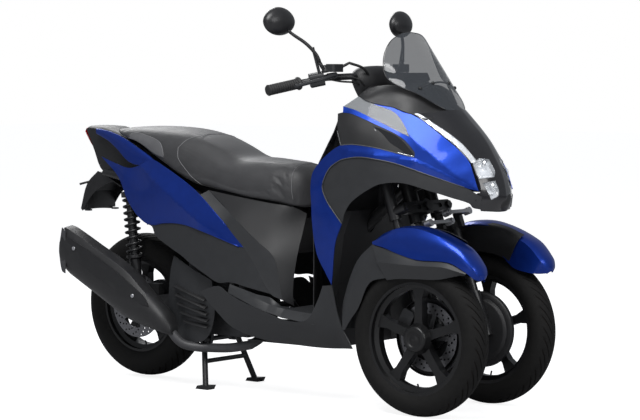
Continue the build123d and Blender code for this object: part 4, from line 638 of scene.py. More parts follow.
class SCOOTER_OT_nose(Maker, bpy.types.Operator):
    """Builds the mask, headlamps, running lights, screen and its base"""
    bl_idname = "scooter.nose"
    bl_label = "Nose and lamps"

    def build(self, context):
        self.mask()
        self.lamps()
        bm = bmesh.new()
        patch(bm, mirrored(CHIN), CHIN_CROWN, face="front", cell=10, lift=2 * MASK_LIFT)
        piece("chin", bm, "moulding_dark", "chassis", wall=3)
        panel("grille_slot", "gloss_black", GRILLE, lift=5.0)
        beads("grille_edge", "chrome", ((*GRILLE[4:], GRILLE[0]),), 1.2, proud=5.5)
        panel("screen_arm", "moulding_dark", (*ARM_TOP, *ARM_LOW), lift=0.5, crown=ARM_CROWN)
        self.screen()

    @staticmethod
    def mask():
        """The gloss mask between the cowls, with its lamp openings and its turned-back sides."""
        side = [(half, z, side_x) for z, _, side_x, half in NOSE]
        edge = mirrored([(0, 655, 852), *side, *NOSE_TOP])
        crown = [(y, z, nose_x(y, z)) for z in (690, 716, 750, 790, 830, 870, 910, 940) for y in (-60, 0, 60)]
        holes = [[(turn * y, z) for y, z in lamp] for lamp in LAMPS for turn in SIDES]
        bm = bmesh.new()
        patch(bm, edge, crown, face="front", cell=9, lift=MASK_LIFT, holes=holes, bows=(MASK_RIDGE,))
        rows = [[(side_x, half, z), (side_x - 22, half + 1.5, z), (side_x - 60, half + 3, z)]
                for z, _, side_x, half in NOSE[2:]]
        skin(bm, rows, way=Vector((0, 1, 0)), steps=(3, 2))
        skin(bm, [[(x, -y, z) for x, y, z in row] for row in rows], way=Vector((0, -1, 0)), steps=(3, 2))
        piece("nose_mask", bm, "gloss_black", "chassis", ("nose_mask",), wall=2.5, edge=0.8)

    @staticmethod
    def lamps():
        """The bowls and clear covers of the lamps, and the round units in the headlamps."""
        for name, shade, depth, lift in LAMP_SHELLS:
            bm = bmesh.new()
            for lamp in LAMPS:
                mid_y, mid_z = (sum(p[k] for p in lamp) / len(lamp) * LAMP_SINK for k in (0, 1))
                sunk = [] if lamp is SIDE_LAMP else [
                    ((1 - LAMP_SINK) * y + mid_y, (1 - LAMP_SINK) * z + mid_z, nose_x(y, z) - depth)
                    for y, z in lamp]
                for turn in SIDES:
                    patch(bm, [(turn * y, z, nose_x(y, z)) for y, z in lamp],
                          [(turn * y, z, x) for y, z, x in sunk], face="front", cell=6, lift=lift)
            piece(name, bm, shade, "chassis", wall=1.0, edge=0)
        units, eyes = bmesh.new(), bmesh.new()
        for y, z, r in LAMP_UNITS:
            for turn in SIDES:
                turned(units, (nose_x(y, z) - UNIT_DEPTH, turn * y, z),
                       ((0, 0), (9, r * 0.6), (14, r), (12, r + 2), (0, r + 2)), steps=28, axis=(1, 0, 0))
                at = Matrix.Translation(Vector((nose_x(y, z) - EYE_DEPTH, turn * y, z)) * MM)
                bmesh.ops.create_uvsphere(eyes, u_segments=20, v_segments=12, radius=(r - EYE_SMALLER) * MM,
                                          matrix=at)
        piece("lamp_units", units, "chrome", "chassis", edge=0, recalc=True)
        piece("lamp_eyes", eyes, "lens", "chassis", edge=0)

    @staticmethod
    def screen():
        """The tinted screen with its rim, the bracket behind it and the bracket's screws."""
        widths, heights = zip(*SCREEN_EDGE[1:7])
        edge = mirrored([(y, z, screen_x(y, z)) for y, z in SCREEN_EDGE])
        crown = [(turn * y, z, screen_x(y, z)) for z in range(990, 1215, 25) for turn in SIDES
                 for y in (25, 60, 95, 130) if y < 0.9 * np.interp(z, heights, widths)]
        bm = bmesh.new()
        patch(bm, edge, crown, face="front", cell=10, lift=0.4)
        piece("windscreen", bm, "tinted", "chassis", ("windscreen",), wall=3.5, edge=0.8)
        rim, bracket, screws = bmesh.new(), bmesh.new(), bmesh.new()
        for turn in SIDES:
            bar(rim, [(screen_x(y, z, 1.6), turn * y, z) for y, z in SCREEN_EDGE], 1.5, sides=8, steps=6)
            bar(bracket, [(screen_x(y, z, 6.5), turn * y, z) for y, z in BRACKET_LINE], 3.0, sides=10)
            bar(bracket, [(screen_x(*at), turn * y, z) for at, (y, z) in BRACKET_FOOT], 3.5, sides=10)
            for y, z in SCREWS:
                turned(screws, (screen_x(y, z, 5), turn * y, z), SCREW, steps=16, axis=SCREEN_RAKE)
        piece("screen_rim", rim, "gloss_black", "chassis", edge=0)
        piece("screen_bracket", bracket, "satin_black", "chassis", edge=0)
        piece("screen_screws", screws, "satin_black", "chassis", edge=0, recalc=True)


# ---------------------------------------------------------------- front fenders
FENDER_INNER = 52.0
FENDER_BLUE = (
    # angle ahead of the axle, edge radius, crown radius, outer half width, inner edge radius
    (39.5, 306, 316, 14, 306), (42, 303, 328, 32, 288), (47, 303, 338, 46, 268), (60, 290, 348, 54, 246),
    (84, 256, 355, 58, 300), (99, 272, 359, 58, 317), (110, 305, 355, 56, 313), (118, 334, 348, 47, 334),
)
SKIRT_REAR = (
    (117.4, 215, 345, 52.5, 303), (134, 238, 334, 52, 292), (158, 232, 311, 46, 269),
    (170, 256, 304, 41, 262), (178, 280, 299, 34, 280),
)
GUARD_ANGLES = (64, 76, 90, 104, 117)
GUARD_SECTION = (
    # outward from the wheel's middle, radius
    (-26, 353), (-44, 344), (-FENDER_INNER - 1.5, 318), (-FENDER_INNER - 2, 282), (-FENDER_INNER, 256),
)
DISC_COVER = (
    # inward from the wheel's middle, radius
    (37.5, 123), (50, 123), (53, 119), (55, 106), (62, 100), (64, 96), (64.5, 62), (66, 58), (66, 30),
)
SKIRT_SIDE = (
    # angle, low radius, high radius, outer half width, then the crease's radius and half width
    (47, 290, 306, 44, 298, 48), (50, 276, 301, 47, 291, 54), (62, 222, 286, 54, 268, 64),
    (84, 194, 256, 58, 238, 69), (104, 196, 287, 58, 246, 69), (118, 208, 331, 54, 272, 64),
)


def round_wheel(angle, section, turn):
    """Points (outward, radius) at an angle ahead of the front axle, about the wheel on one side."""
    x, z = FRONT_AXLE
    a = math.radians(angle)
    return [(x + r * math.cos(a), turn * (FRONT_TRACK / 2 + outward), z + r * math.sin(a))
            for outward, r in section]


def over_wheel(rows, turn):
    """Sections of a fender, from its outer edge over the crown to its inner edge."""
    made = []
    for angle, edge_r, crown_r, half, inner_r in rows:
        inner, rise = min(half, FENDER_INNER), crown_r - edge_r
        section = ((half, edge_r), (half * 0.985, edge_r + 0.30 * rise), (half * 0.93, edge_r + 0.66 * rise),
                   (half * 0.70, crown_r - 5), (half * 0.35, crown_r - 1), (0, crown_r),
                   (-inner * 0.5, crown_r - 3), (-inner * 0.85, crown_r - 12),
                   (-inner, min(inner_r, crown_r - 10)))
        made.append(round_wheel(angle, section, turn))
    return made


def skirt_facets(turn):
    """The two strips of a fender's outer skirt, above and below its crease."""
    rows = [(angle, ((half * 0.93, high), (wide, crease), (half * 0.95, low)))
            for angle, low, high, half, crease, wide in SKIRT_SIDE]
    return [[round_wheel(angle, section[facet:facet + 2], turn) for angle, section in rows]
            for facet in (0, 1)]


class SCOOTER_OT_fenders(Maker, bpy.types.Operator):
    """Builds the painted front fenders and their dark skirts"""
    bl_idname = "scooter.fenders"
    bl_label = "Front fenders"

    def build(self, context):
        for name, turn in (("left", 1), ("right", -1)):
            fork = f"fork_{name}"
            bm = bmesh.new()
            skin(bm, over_wheel(FENDER_BLUE, turn), way=Vector((0, 0, 1)), steps=(5, 3))
            piece(f"fender_{name}", bm, "paint_blue", fork, (f"fender_{name}",), wall=3.5, edge=1.2,
                  lined=True)
            bm = bmesh.new()
            rows = [round_wheel(angle, GUARD_SECTION, turn) for angle in GUARD_ANGLES]
            skin(bm, rows, way=Vector((0, -turn, 0.6)), steps=(4, 3))
            piece(f"fender_guard_{name}", bm, "moulding_dark", fork, wall=2.0, edge=0.6)
            bm = bmesh.new()
            centre = (FRONT_AXLE[0], turn * FRONT_TRACK / 2, FRONT_AXLE[1])
            turned(bm, centre, DISC_COVER, steps=72, axis=(0, -turn, 0))
            piece(f"disc_cover_{name}", bm, "moulding_dark", fork, wall=2.2, edge=1.0)
            bm = bmesh.new()
            skin(bm, over_wheel(SKIRT_REAR, turn), way=Vector((-1, 0, 0.5)), steps=(4, 3))
            for facet in skirt_facets(turn):
                skin(bm, facet, way=Vector((0, turn, 0)), steps=(5, 3))
            piece(f"fender_skirt_{name}", bm, "moulding", fork, (f"fender_skirt_{name}",), wall=3.0, edge=1.0)


# ---------------------------------------------------------------- tyres and wheels
WHEELS = (
    # body, plain tyre, centre, tyre radius, width, bead radius, pitches, hub's side, cap's place and shape
    ("front_wheel_left", "front_left_tyre", (FRONT_AXLE[0], FRONT_TRACK / 2, FRONT_AXLE[1]),
     250.0, 90.0, 177.8, 21, 1, 33, "cone"),
    ("front_wheel_right", "front_right_tyre", (FRONT_AXLE[0], -FRONT_TRACK / 2, FRONT_AXLE[1]),
     250.0, 90.0, 177.8, 21, -1, 33, "cone"),
    ("rear_wheel", "rear_tyre", (REAR_AXLE[0], 0, REAR_AXLE[1]),
     256.0, 130.0, 165.1, 22, -1, 48, "cap"),
)
TYRE_LINE = (
    # part of the half width, drop from the crown over the section height; True where grooves may run
    (0.00, 0.000, False), (0.10, 0.002, False), (0.13, 0.004, True), (0.28, 0.018, True), (0.43, 0.048, True),
    (0.58, 0.095, True), (0.72, 0.160, True), (0.80, 0.215, False), (0.87, 0.29, False), (0.95, 0.40, False),
    (0.99, 0.53, False), (0.98, 0.66, False), (0.90, 0.80, False), (0.80, 0.90, False), (0.74, 0.97, False),
    (0.66, 1.00, False),
)
# places round the tyre within a pitch, as shares of it, and whether the stretch after each is cut
TREAD_STEPS = (0.0, 0.02, 0.10, 0.12, 0.30, 0.46, 0.48, 0.55, 0.57, 0.70, 0.85, 1.0)
TREAD_CUT = (False, True, True, False, False, False, True, True, False, False, False, False)
TREAD_LEAN = 1.3           # pitches that a groove runs back from the middle to the shoulder
GROOVE_SHOULDER = 0.8      # share of the half width past which a groove runs straight
CENTRE_RIB = 0.05          # share of the half width on which both sides' grooves are in step
HUB_SHAPES = {
    # along, radius
    "cone": ((-20, 50), (-2, 43), (4, 41), (7, 36), (7.5, 27), (3, 25), (3, 12), (5, 10), (5, 0)),
    "cap": ((0, 31), (5, 31), (8, 28), (8.5, 22), (5.5, 20), (5.5, 12), (7.5, 10), (7.5, 0)),
}
VALVE_SINK = 12            # of the valve's foot, inside the bead
VALVE = ((8, 0), (16, 22))   # outward from the wheel's middle, up from the foot


class SCOOTER_OT_tyres(Maker, bpy.types.Operator):
    """Builds the tyres with their grooves, the hub caps and the valves"""
    bl_idname = "scooter.tyres"
    bl_label = "Tyres"

    def build(self, context):
        depth = context.scene.scooter_sizes.tread_depth / MM
        for body, node, centre, radius, width, bead, pitches, hub_side, hub, shape in WHEELS:
            bm = bmesh.new()
            self.tread_pitch(bm, radius, width, bead, math.tau / pitches, depth)
            whole = [*bm.verts, *bm.edges, *bm.faces]
            bmesh.ops.spin(bm, geom=whole, cent=(0, 0, 0), axis=(0, 1, 0), dvec=(0, 0, 0),
                           angle=-math.tau * (pitches - 1) / pitches, steps=pitches - 1, use_duplicate=True)
            bmesh.ops.translate(bm, vec=Vector(centre) * MM, verts=list(bm.verts))
            bmesh.ops.remove_doubles(bm, verts=list(bm.verts), dist=20 * MERGE_GAP)
            bmesh.ops.recalc_face_normals(bm, faces=list(bm.faces))
            tyre = piece(node.replace("_tyre", "_tread"), bm, "tyre_rubber", body, (node,), edge=0,
                         extra=("groove",))
            sharp = [abs(e.calc_face_angle(0)) > CREASE_TURN for e in self.edges_of(tyre)]
            tyre.data.edges.foreach_set("use_edge_sharp", sharp)

            x, y, z = centre
            bm = bmesh.new()
            turned(bm, (x, y + hub_side * hub, z), HUB_SHAPES[shape], axis=(0, hub_side, 0))
            piece(body + "_cap", bm, "wheel_black", body, edge=0, recalc=True)
            bm = bmesh.new()
            bar(bm, [(x, y + hub_side * out, z - bead + VALVE_SINK + up) for out, up in VALVE], 3.0, sides=10)
            piece(body + "_valve", bm, "soft_rubber", body, edge=0.3)

    @staticmethod
    def tread_pitch(bm, radius, width, bead, pitch, depth):
        """One pitch of the tyre at the top of the wheel, from bead to bead, with its grooves."""
        line = [(-t, drop, cut) for t, drop, cut in TYRE_LINE[:0:-1]] + list(TYRE_LINE)
        long, wide = len(TREAD_STEPS) - 1, len(line) - 1
        place = {}
        for vert in bmesh.ops.create_grid(bm, x_segments=long, y_segments=wide, size=0.5)["verts"]:
            i, j = place[vert] = round((vert.co.x + 0.5) * long), round((vert.co.y + 0.5) * wide)
            t, drop, cut = line[j]
            r = radius - drop * (radius - bead) - (depth if cut and TREAD_CUT[i] else 0)
            late = 0.5 if t < -CENTRE_RIB else 0.0
            turn = (TREAD_STEPS[i] + TREAD_LEAN * min(abs(t), GROOVE_SHOULDER) + late) * pitch
            vert.co = Vector((-r * math.sin(turn), t * width / 2, r * math.cos(turn))) * MM
        for face in bm.faces:
            if all(line[j][2] and TREAD_CUT[i] for i, j in (place[v] for v in face.verts)):
                face.material_index = 1

    @staticmethod
    def edges_of(obj):
        """The edges of a finished mesh, in its own order."""
        bm = bmesh.new()
        bm.from_mesh(obj.data)
        bm.edges.ensure_lookup_table()
        yield from bm.edges
        bm.free()


# ---------------------------------------------------------------- seat
SEAT = (
    # x, low z, half width, top z
    (139, 650, 34, 680), (123, 642, 66, 716), (104, 640, 92, 756), (76, 644, 112, 777),
    (40, 652, 126, 783), (0, 660, 138, 786), (-94, 670, 151, 794), (-170, 684, 153, 800),
    (-253, 696, 151, 836), (-320, 708, 153, 862), (-391, 738, 156, 880), (-455, 770, 152, 890),
    (-530, 806, 143, 896), (-600, 840, 130, 898), (-700, 868, 112, 897), (-742, 884, 84, 893),
)
SEAT_SIDE = (
    # share of the half width, share of the height, mm above that
    (0.5, 0.0, 1), (0.93, 0.0, 2), (1.0, 0.22, 0), (0.985, 0.45, 0), (0.90, 0.70, 0), (0.74, 0.88, 0),
    (0.45, 0.97, 0),
)
SEAM_TOP = ((-352, 0), (-350, 55), (-338, 88))
SEAM_SIDE = ((-345, 876), (-378, 862), (-402, 832), (-394, 797), (-367, 765), (-338, 737), (-290, 706))
NOSE_SEAM = ((66, 0), (66, 45), (68, 76))
NOSE_SEAM_SIDE = ((69, 768), (73, 740), (78, 700), (83, 668))
SEAM_THREADS = ((0, 1.5), (5.5, 0.7), (-5.5, 0.7))   # shift along the seat, radius
SIDE_INSERT = ((-664, 862), (-632, 880), (-571, 873), (-503, 856), (-476, 836), (-462, 797), (-505, 808),
               (-560, 833), (-620, 855))
STUFFING_CELL = 0.006      # m: size of the cover's cells while it is stuffed
STUFFING_PRESSURE = 4.0
STUFFING_STEPS = 20
HELD_BAND = 0.012          # m: the cover's lower edge, which the base holds
MOST_SWELL = 0.007         # m
SEAT_CEILING = 0.905       # m


class SCOOTER_OT_seat(Maker, bpy.types.Operator):
    """Builds the stepped seat as a stuffed cover, with its seams and side inserts"""
    bl_idname = "scooter.seat"
    bl_label = "Seat"

    def build(self, context):
        rows = []
        for x, low, half, top in SEAT:
            right = [(wide * half, low + tall * (top - low) + more) for wide, tall, more in SEAT_SIDE]
            rows.append([(x, 0, low), *((x, -y, z) for y, z in right),
                         (x, 0, top), *((x, y, z) for y, z in right[::-1])])
        bm = bmesh.new()
        skin(bm, rows, closed=True, steps=(4, 3))
        fill_ends(bm)
        bmesh.ops.recalc_face_normals(bm, faces=list(bm.faces))
        seat = piece("seat_pad", bm, "seat_hide", "seat", ("seat",), edge=0)
        self.stuff(context, seat)
        tree = self.surface(seat)

        seams, piping, insert = bmesh.new(), bmesh.new(), bmesh.new()
        for turn in SIDES:
            for seam in (SEAM_TOP, NOSE_SEAM):
                for shift, radius in SEAM_THREADS:
                    line = smooth_line([(x + shift, turn * y, 0) for x, y in seam], closed=False, steps=6)
                    self.lay(seams, tree, line, radius)
            for seam in (SEAM_SIDE, NOSE_SEAM_SIDE):
                line = smooth_line([(x, z, 0) for x, z in seam], closed=False, steps=6)
                bar(seams, [self.side_point(tree, p.x, p.y, turn) for p in line], 1.2, sides=6, steps=1)
            outline = smooth_line([(x, z, 0) for x, z in SIDE_INSERT], steps=4)
            points = [self.side_point(tree, p.x, p.y, turn) + Vector((0, turn * 0.3, 0))
                      for p in (*outline, outline[0])]
            bar(piping, points, 1.3, sides=6, steps=1, closed_ends=False)
        piece("seat_seams", seams, "thread", "seat", edge=0)
        piece("insert_piping", piping, "thread", "seat", edge=0)

        def on_side(places):
            return [(x, z, abs(self.side_point(tree, x, z, -1).y)) for x, z in places]

        inner = [(x, z) for x in range(-650, -465, 12) for z in range(802, 882, 8)
                 if inside(x, z, SIDE_INSERT)]
        patch(insert, on_side(SIDE_INSERT), on_side(inner), cell=7, lift=1.6)
        add_other_side(insert)
        piece("seat_inserts", insert, "seat_insert", "seat", wall=2.5, edge=0.8)

    @staticmethod
    def side_point(tree, x, z, turn):
        """Where the seat's side is, seen from that side."""
        hit = tree.ray_cast(Vector((x, turn * 300, z)) * MM, Vector((0, -turn, 0)))[0]
        if hit is None:
            hit = tree.find_nearest(Vector((x, turn * 150, z)) * MM)[0]
        return hit / MM

    @staticmethod
    def lay(bm, tree, line, radius):
        """A thread along a line, laid on the seat from above."""
        points = []
        for p in line:
            hit = tree.ray_cast(Vector((p.x, p.y, 1100)) * MM, Vector((0, 0, -1)))[0]
            if hit is not None:
                points.append(hit / MM + Vector((0, 0, radius * 0.2)))
        bar(bm, points, radius, sides=6, steps=1)

    @staticmethod
    def surface(obj):
        """The seat's surface as a tree that rays can be cast at."""
        bm = bmesh.new()
        bm.from_mesh(obj.data)
        tree = BVHTree.FromBMesh(bm)
        bm.free()
        return tree

    @staticmethod
    def stuff(context, seat):
        """Swells the cover from inside, as its foam does, and keeps it in its own shape."""
        remesh = seat.modifiers.new("even_cells", "REMESH")
        remesh.mode = "VOXEL"
        remesh.voxel_size = STUFFING_CELL
        remesh.use_smooth_shade = True
        before = SCOOTER_OT_seat.baked(context, seat)
        rest = np.empty(len(before.vertices) * 3)
        before.vertices.foreach_get("co", rest)
        rest = rest.reshape(-1, 3)
        floor_z = np.interp(-rest[:, 0], [-row[0] * MM for row in SEAT], [row[1] * MM for row in SEAT])
        held = seat.vertex_groups.new(name="held")
        held.add([int(k) for k in np.flatnonzero(rest[:, 2] < floor_z + HELD_BAND)], 1.0, "REPLACE")
        cloth = seat.modifiers.new("stuffing", "CLOTH")
        cloth.settings.use_pressure = True
        cloth.settings.uniform_pressure_force = STUFFING_PRESSURE
        cloth.settings.vertex_group_mass = "held"
        cloth.settings.effector_weights.gravity = 0.0
        cloth.settings.tension_stiffness = cloth.settings.compression_stiffness = 25
        cloth.settings.shear_stiffness = 15
        cloth.settings.quality = 5
        for number in range(STUFFING_STEPS):
            context.scene.frame_set(number + 1)
        after = SCOOTER_OT_seat.baked(context, seat)
        context.scene.frame_set(1)
        swollen = np.empty(len(after.vertices) * 3)
        after.vertices.foreach_get("co", swollen)
        move = swollen.reshape(-1, 3) - rest
        size = np.linalg.norm(move, axis=1, keepdims=True)
        final = rest + move * np.minimum(1.0, MOST_SWELL / np.maximum(size, MERGE_GAP))
        final[:, 2] = np.minimum(final[:, 2], SEAT_CEILING)
        after.vertices.foreach_set("co", final.ravel())
        after.update()
        smooth = seat.modifiers.new("even_skin", "SUBSURF")
        smooth.levels = smooth.render_levels = 1
        SCOOTER_OT_seat.baked(context, seat)
        seat.vertex_groups.clear()

    @staticmethod
    def baked(context, obj):
        """Replaces the object's mesh with what its modifiers give, and drops them."""
        context.view_layer.update()
        shaped = bpy.data.meshes.new_from_object(obj.evaluated_get(context.evaluated_depsgraph_get()))
        obj.modifiers.clear()
        obj.data = shaped
        shaped.shade_smooth()
        return shaped


# ---------------------------------------------------------------- rails, tail and rear guard
RAIL_TOP = (
    # x, outer half width, outer z, top half width, top z, drop of the lower edge
    (-835, 100, 884, 96, 891, 10), (-800, 108, 878, 102, 889, 14), (-750, 120, 868, 113, 882, 22),
    (-700, 131, 855, 123, 871, 36), (-643, 141, 833, 133, 851, 52), (-585, 149, 810, 141, 826, 42),
    (-530, 155, 789, 148, 801, 16), (-510, 156, 781, 151, 790, 10),
)
TAIL_ROWS = (
    # x, half width, low z, top z
    (-604, 60, 742, 816), (-650, 66, 732, 838), (-700, 70, 720, 856), (-745, 73, 700, 872),
    (-800, 74, 722, 888), (-838, 74, 742, 897), (-868, 72, 800, 899), (-905, 66, 862, 900),
    (-924, 58, 880, 893),
)
LAMP_EDGE = ((0, 893, -932), (44, 892, -930), (62, 880, -924), (60, 846, -903), (52, 812, -884),
             (0, 806, -884))
LAMP_CROWN = ((0, 850, -912), (30, 850, -910))
LIGHT_BAR = ((-903, 46, 850), (-912, 20, 868), (-914, 0, 872))
RAIL_POSTS = ((-800, 92, 868), (-655, 128, 826))
GUARD_ACROSS = (-76, -50, -20, 20, 50, 76)
GUARD_CROWN = 0.0006       # mm of fall for each square millimetre from the middle
GUARD_LINE = ((-736, 688), (-780, 707), (-822, 727), (-850, 734), (-880, 705), (-904, 668), (-922, 630),
              (-932, 594))
GUARD_SIDE = ((-736, 689), (-822, 729), (-848, 738), (-902, 690), (-934, 600), (-926, 592), (-868, 660),
              (-780, 700), (-738, 684))
GUARD_HALF = 77.5
PLATE = ((-908, -74, 600), (-904.5, 74, 678))
PLATE_LIP = ((-912, 60, 592), (-893, 80, 598))
PLATE_HOLES = ((-60, 60), (615, 665))   # across, up
HOLE_RING = ((0, 0), (0, 3.2), (1.0, 3.2), (1.0, 5.0), (1.6, 5.0), (1.6, 0))
SIGNAL_ARM = ((-870, 96, 700), (-905, 112, 690))


class SCOOTER_OT_tail(Maker, bpy.types.Operator):
    """Builds the grab rails, the tail, its lamp and the rear guard with its plate bracket"""
    bl_idname = "scooter.tail"
    bl_label = "Tail"

    def build(self, context):
        bm = bmesh.new()
        rows = []
        for x, out, out_z, top, top_z, drop in RAIL_TOP:
            ring = ((out, out_z), ((out + top) / 2 + 1, (out_z + top_z) / 2 + 2), (top, top_z),
                    (top - 9, top_z - 3), (top - 12, out_z - 6), (out - 9, out_z - drop - 4),
                    (out - 2, out_z - drop))
            rows.append([(x, -y, z) for y, z in ring])
        skin(bm, rows, closed=True, steps=(4, 2))
        fill_ends(bm)
        bmesh.ops.recalc_face_normals(bm, faces=list(bm.faces))
        add_other_side(bm)
        piece("grab_rail", bm, "paint_blue", "chassis", ("grab_rails",), edge=0.8)
        bm = bmesh.new()
        for turn in SIDES:
            for x, half, z in RAIL_POSTS:
                bar(bm, ((x, turn * half, z), (x + 6, turn * 68, z - 8)), 8, sides=12)
        piece("rail_posts", bm, "satin_black", "chassis", edge=0.5)

        bm = bmesh.new()
        rows = []
        for x, half, low, top in TAIL_ROWS:
            ring = [(half * 0.86, low), (half, low + 8), (half, (low + top) / 2), (half, top - 8),
                    (half * 0.8, top)]
            rows.append([(x, -y, z) for y, z in ring] + [(x, y, z) for y, z in ring[::-1]])
        skin(bm, rows, closed=True, steps=(3, 2))
        fill_ends(bm)
        piece("tail_box", bm, "moulding_dark", "chassis", ("tail_body",), edge=1.5, recalc=True)

        bm = bmesh.new()
        patch(bm, mirrored(LAMP_EDGE), LAMP_CROWN, face="back", cell=8, lift=-1.5)
        piece("tail_lens", bm, "tail_red", "chassis", ("tail_lamp",), wall=2.0)
        bm = bmesh.new()
        for turn in SIDES:
            bar(bm, [(x, turn * y, z) for x, y, z in LIGHT_BAR], 2.2, sides=8)
        piece("tail_light_bar", bm, "lens", "chassis", edge=0)

        bm = bmesh.new()
        rows = [[(x, y, z + 3 - GUARD_CROWN * y ** 2) for y in GUARD_ACROSS] for x, z in GUARD_LINE]
        skin(bm, rows, way=Vector((-0.4, 0, 1)), steps=(3, 2))
        piece("rear_guard", bm, "moulding", "chassis", ("rear_fender",), wall=3.5)
        panel("rear_guard_side", "moulding_dark", [(x, z, GUARD_HALF) for x, z in GUARD_SIDE])
        bm = bmesh.new()
        block(bm, *PLATE, 1.2)
        for turn in SIDES:
            low, high = sorted(turn * corner[1] for corner in PLATE_LIP)
            block(bm, (PLATE_LIP[0][0], low, PLATE_LIP[0][2]), (PLATE_LIP[1][0], high, PLATE_LIP[1][2]), 1.2)
        piece("plate_bracket", bm, "satin_black", "chassis", edge=0)
        bm = bmesh.new()
        for y in PLATE_HOLES[0]:
            for z in PLATE_HOLES[1]:
                turned(bm, (PLATE[0][0], y, z), HOLE_RING, steps=18, axis=(-1, 0, 0))
        piece("plate_holes", bm, "groove", "chassis", edge=0, recalc=True)
        bm = bmesh.new()
        for turn in SIDES:
            bar(bm, [(x, turn * y, z) for x, y, z in SIGNAL_ARM], 4.0, sides=10)
        piece("rear_signal_arms", bm, "soft_rubber", "chassis", edge=0.5)


# ---------------------------------------------------------------- exhaust, shocks and drive covers
MUFFLER = (
    # x, middle z, half height, half width, y of the middle
    (-890, 458, 30, 30, -203), (-882, 460, 60, 38, -203), (-868, 464, 84, 43, -203),
    (-841, 452, 88, 47, -202), (-720, 392, 90, 49, -201), (-576, 321, 91, 48, -201),
    (-480, 268, 63, 44, -199), (-406, 228, 40, 36, -196), (-376, 202, 15, 20, -192),
)
MUFFLER_SECTION = (
    # share of the half width, share of the half height
    (-1.0, -0.25), (-1.0, 0.45), (-0.60, 0.92), (0.30, 1.0), (0.86, 0.72), (0.90, -0.2), (0.62, -0.80),
    (-0.15, -1.0), (-0.72, -0.72),
)
SHIELD = ((-838, 512, 247), (-700, 452, 250), (-560, 376, 248), (-470, 316, 244), (-452, 286, 242),
          (-520, 296, 246), (-600, 330, 250), (-720, 392, 252), (-838, 448, 249))
SHIELD_CROWN = ((-700, 425, 253), (-560, 345, 251))
SHIELD_BOLTS = ((-800, -250, 470), (-520, -247, 318))
BOLT = ((0, 0), (0, 7), (4.5, 7), (6, 5), (4, 3), (4, 0))
MUFFLER_CAP = ((-889, 470, 234), (-867, 541, 242), (-846, 531, 248), (-848, 378, 247), (-870, 388, 241),
               (-891, 446, 232))
MOUTH = ((0, 0), (0, 22), (26, 22), (28, 19), (20, 16), (20, 0))
MOUTH_AT, MOUTH_WAY = (-868, -200, 470), (-0.87, 0, 0.5)
HEADER = ((-132, -40, 212), (-100, -44, 208), (-84, -74, 188), (-100, -110, 165), (-180, -120, 150),
          (-264, -124, 144), (-320, -150, 146), (-360, -176, 160), (-398, -192, 205))
HEADER_R = 16
SHOCK_TOP, SHOCK_LOW = Vector((-655, 118, 684)), Vector((-620, 118, 358))
COIL_TURNS, COIL_R, WIRE_R, COIL_STEPS = 9, 25.5, 4.2, 14
COIL_START, COIL_END = 34.0, 88.0   # from the shock's upper and lower eye
LOUVRE_EDGE = ((-414, 457), (-240, 381), (-225, 300), (-240, 215), (-289, 165), (-411, 167), (-436, 250),
               (-431, 394))
LOUVRE_EDGE_HALF, LOUVRE_CROWN = 152, ((-330, 320, 166), (-300, 250, 164), (-370, 400, 160))
LOUVRE_SIZE = Vector((0, 9, 2.5))   # half width and half thickness; each has its own length
LOUVRE_Y, LOUVRE_TILT = -167, math.radians(28)
LOUVRES = (((-397, 355), (-257, 312)), ((-392, 325), (-252, 286)), ((-382, 295), (-248, 263)),
           ((-368, 265), (-246, 241)), ((-352, 235), (-245, 220)))


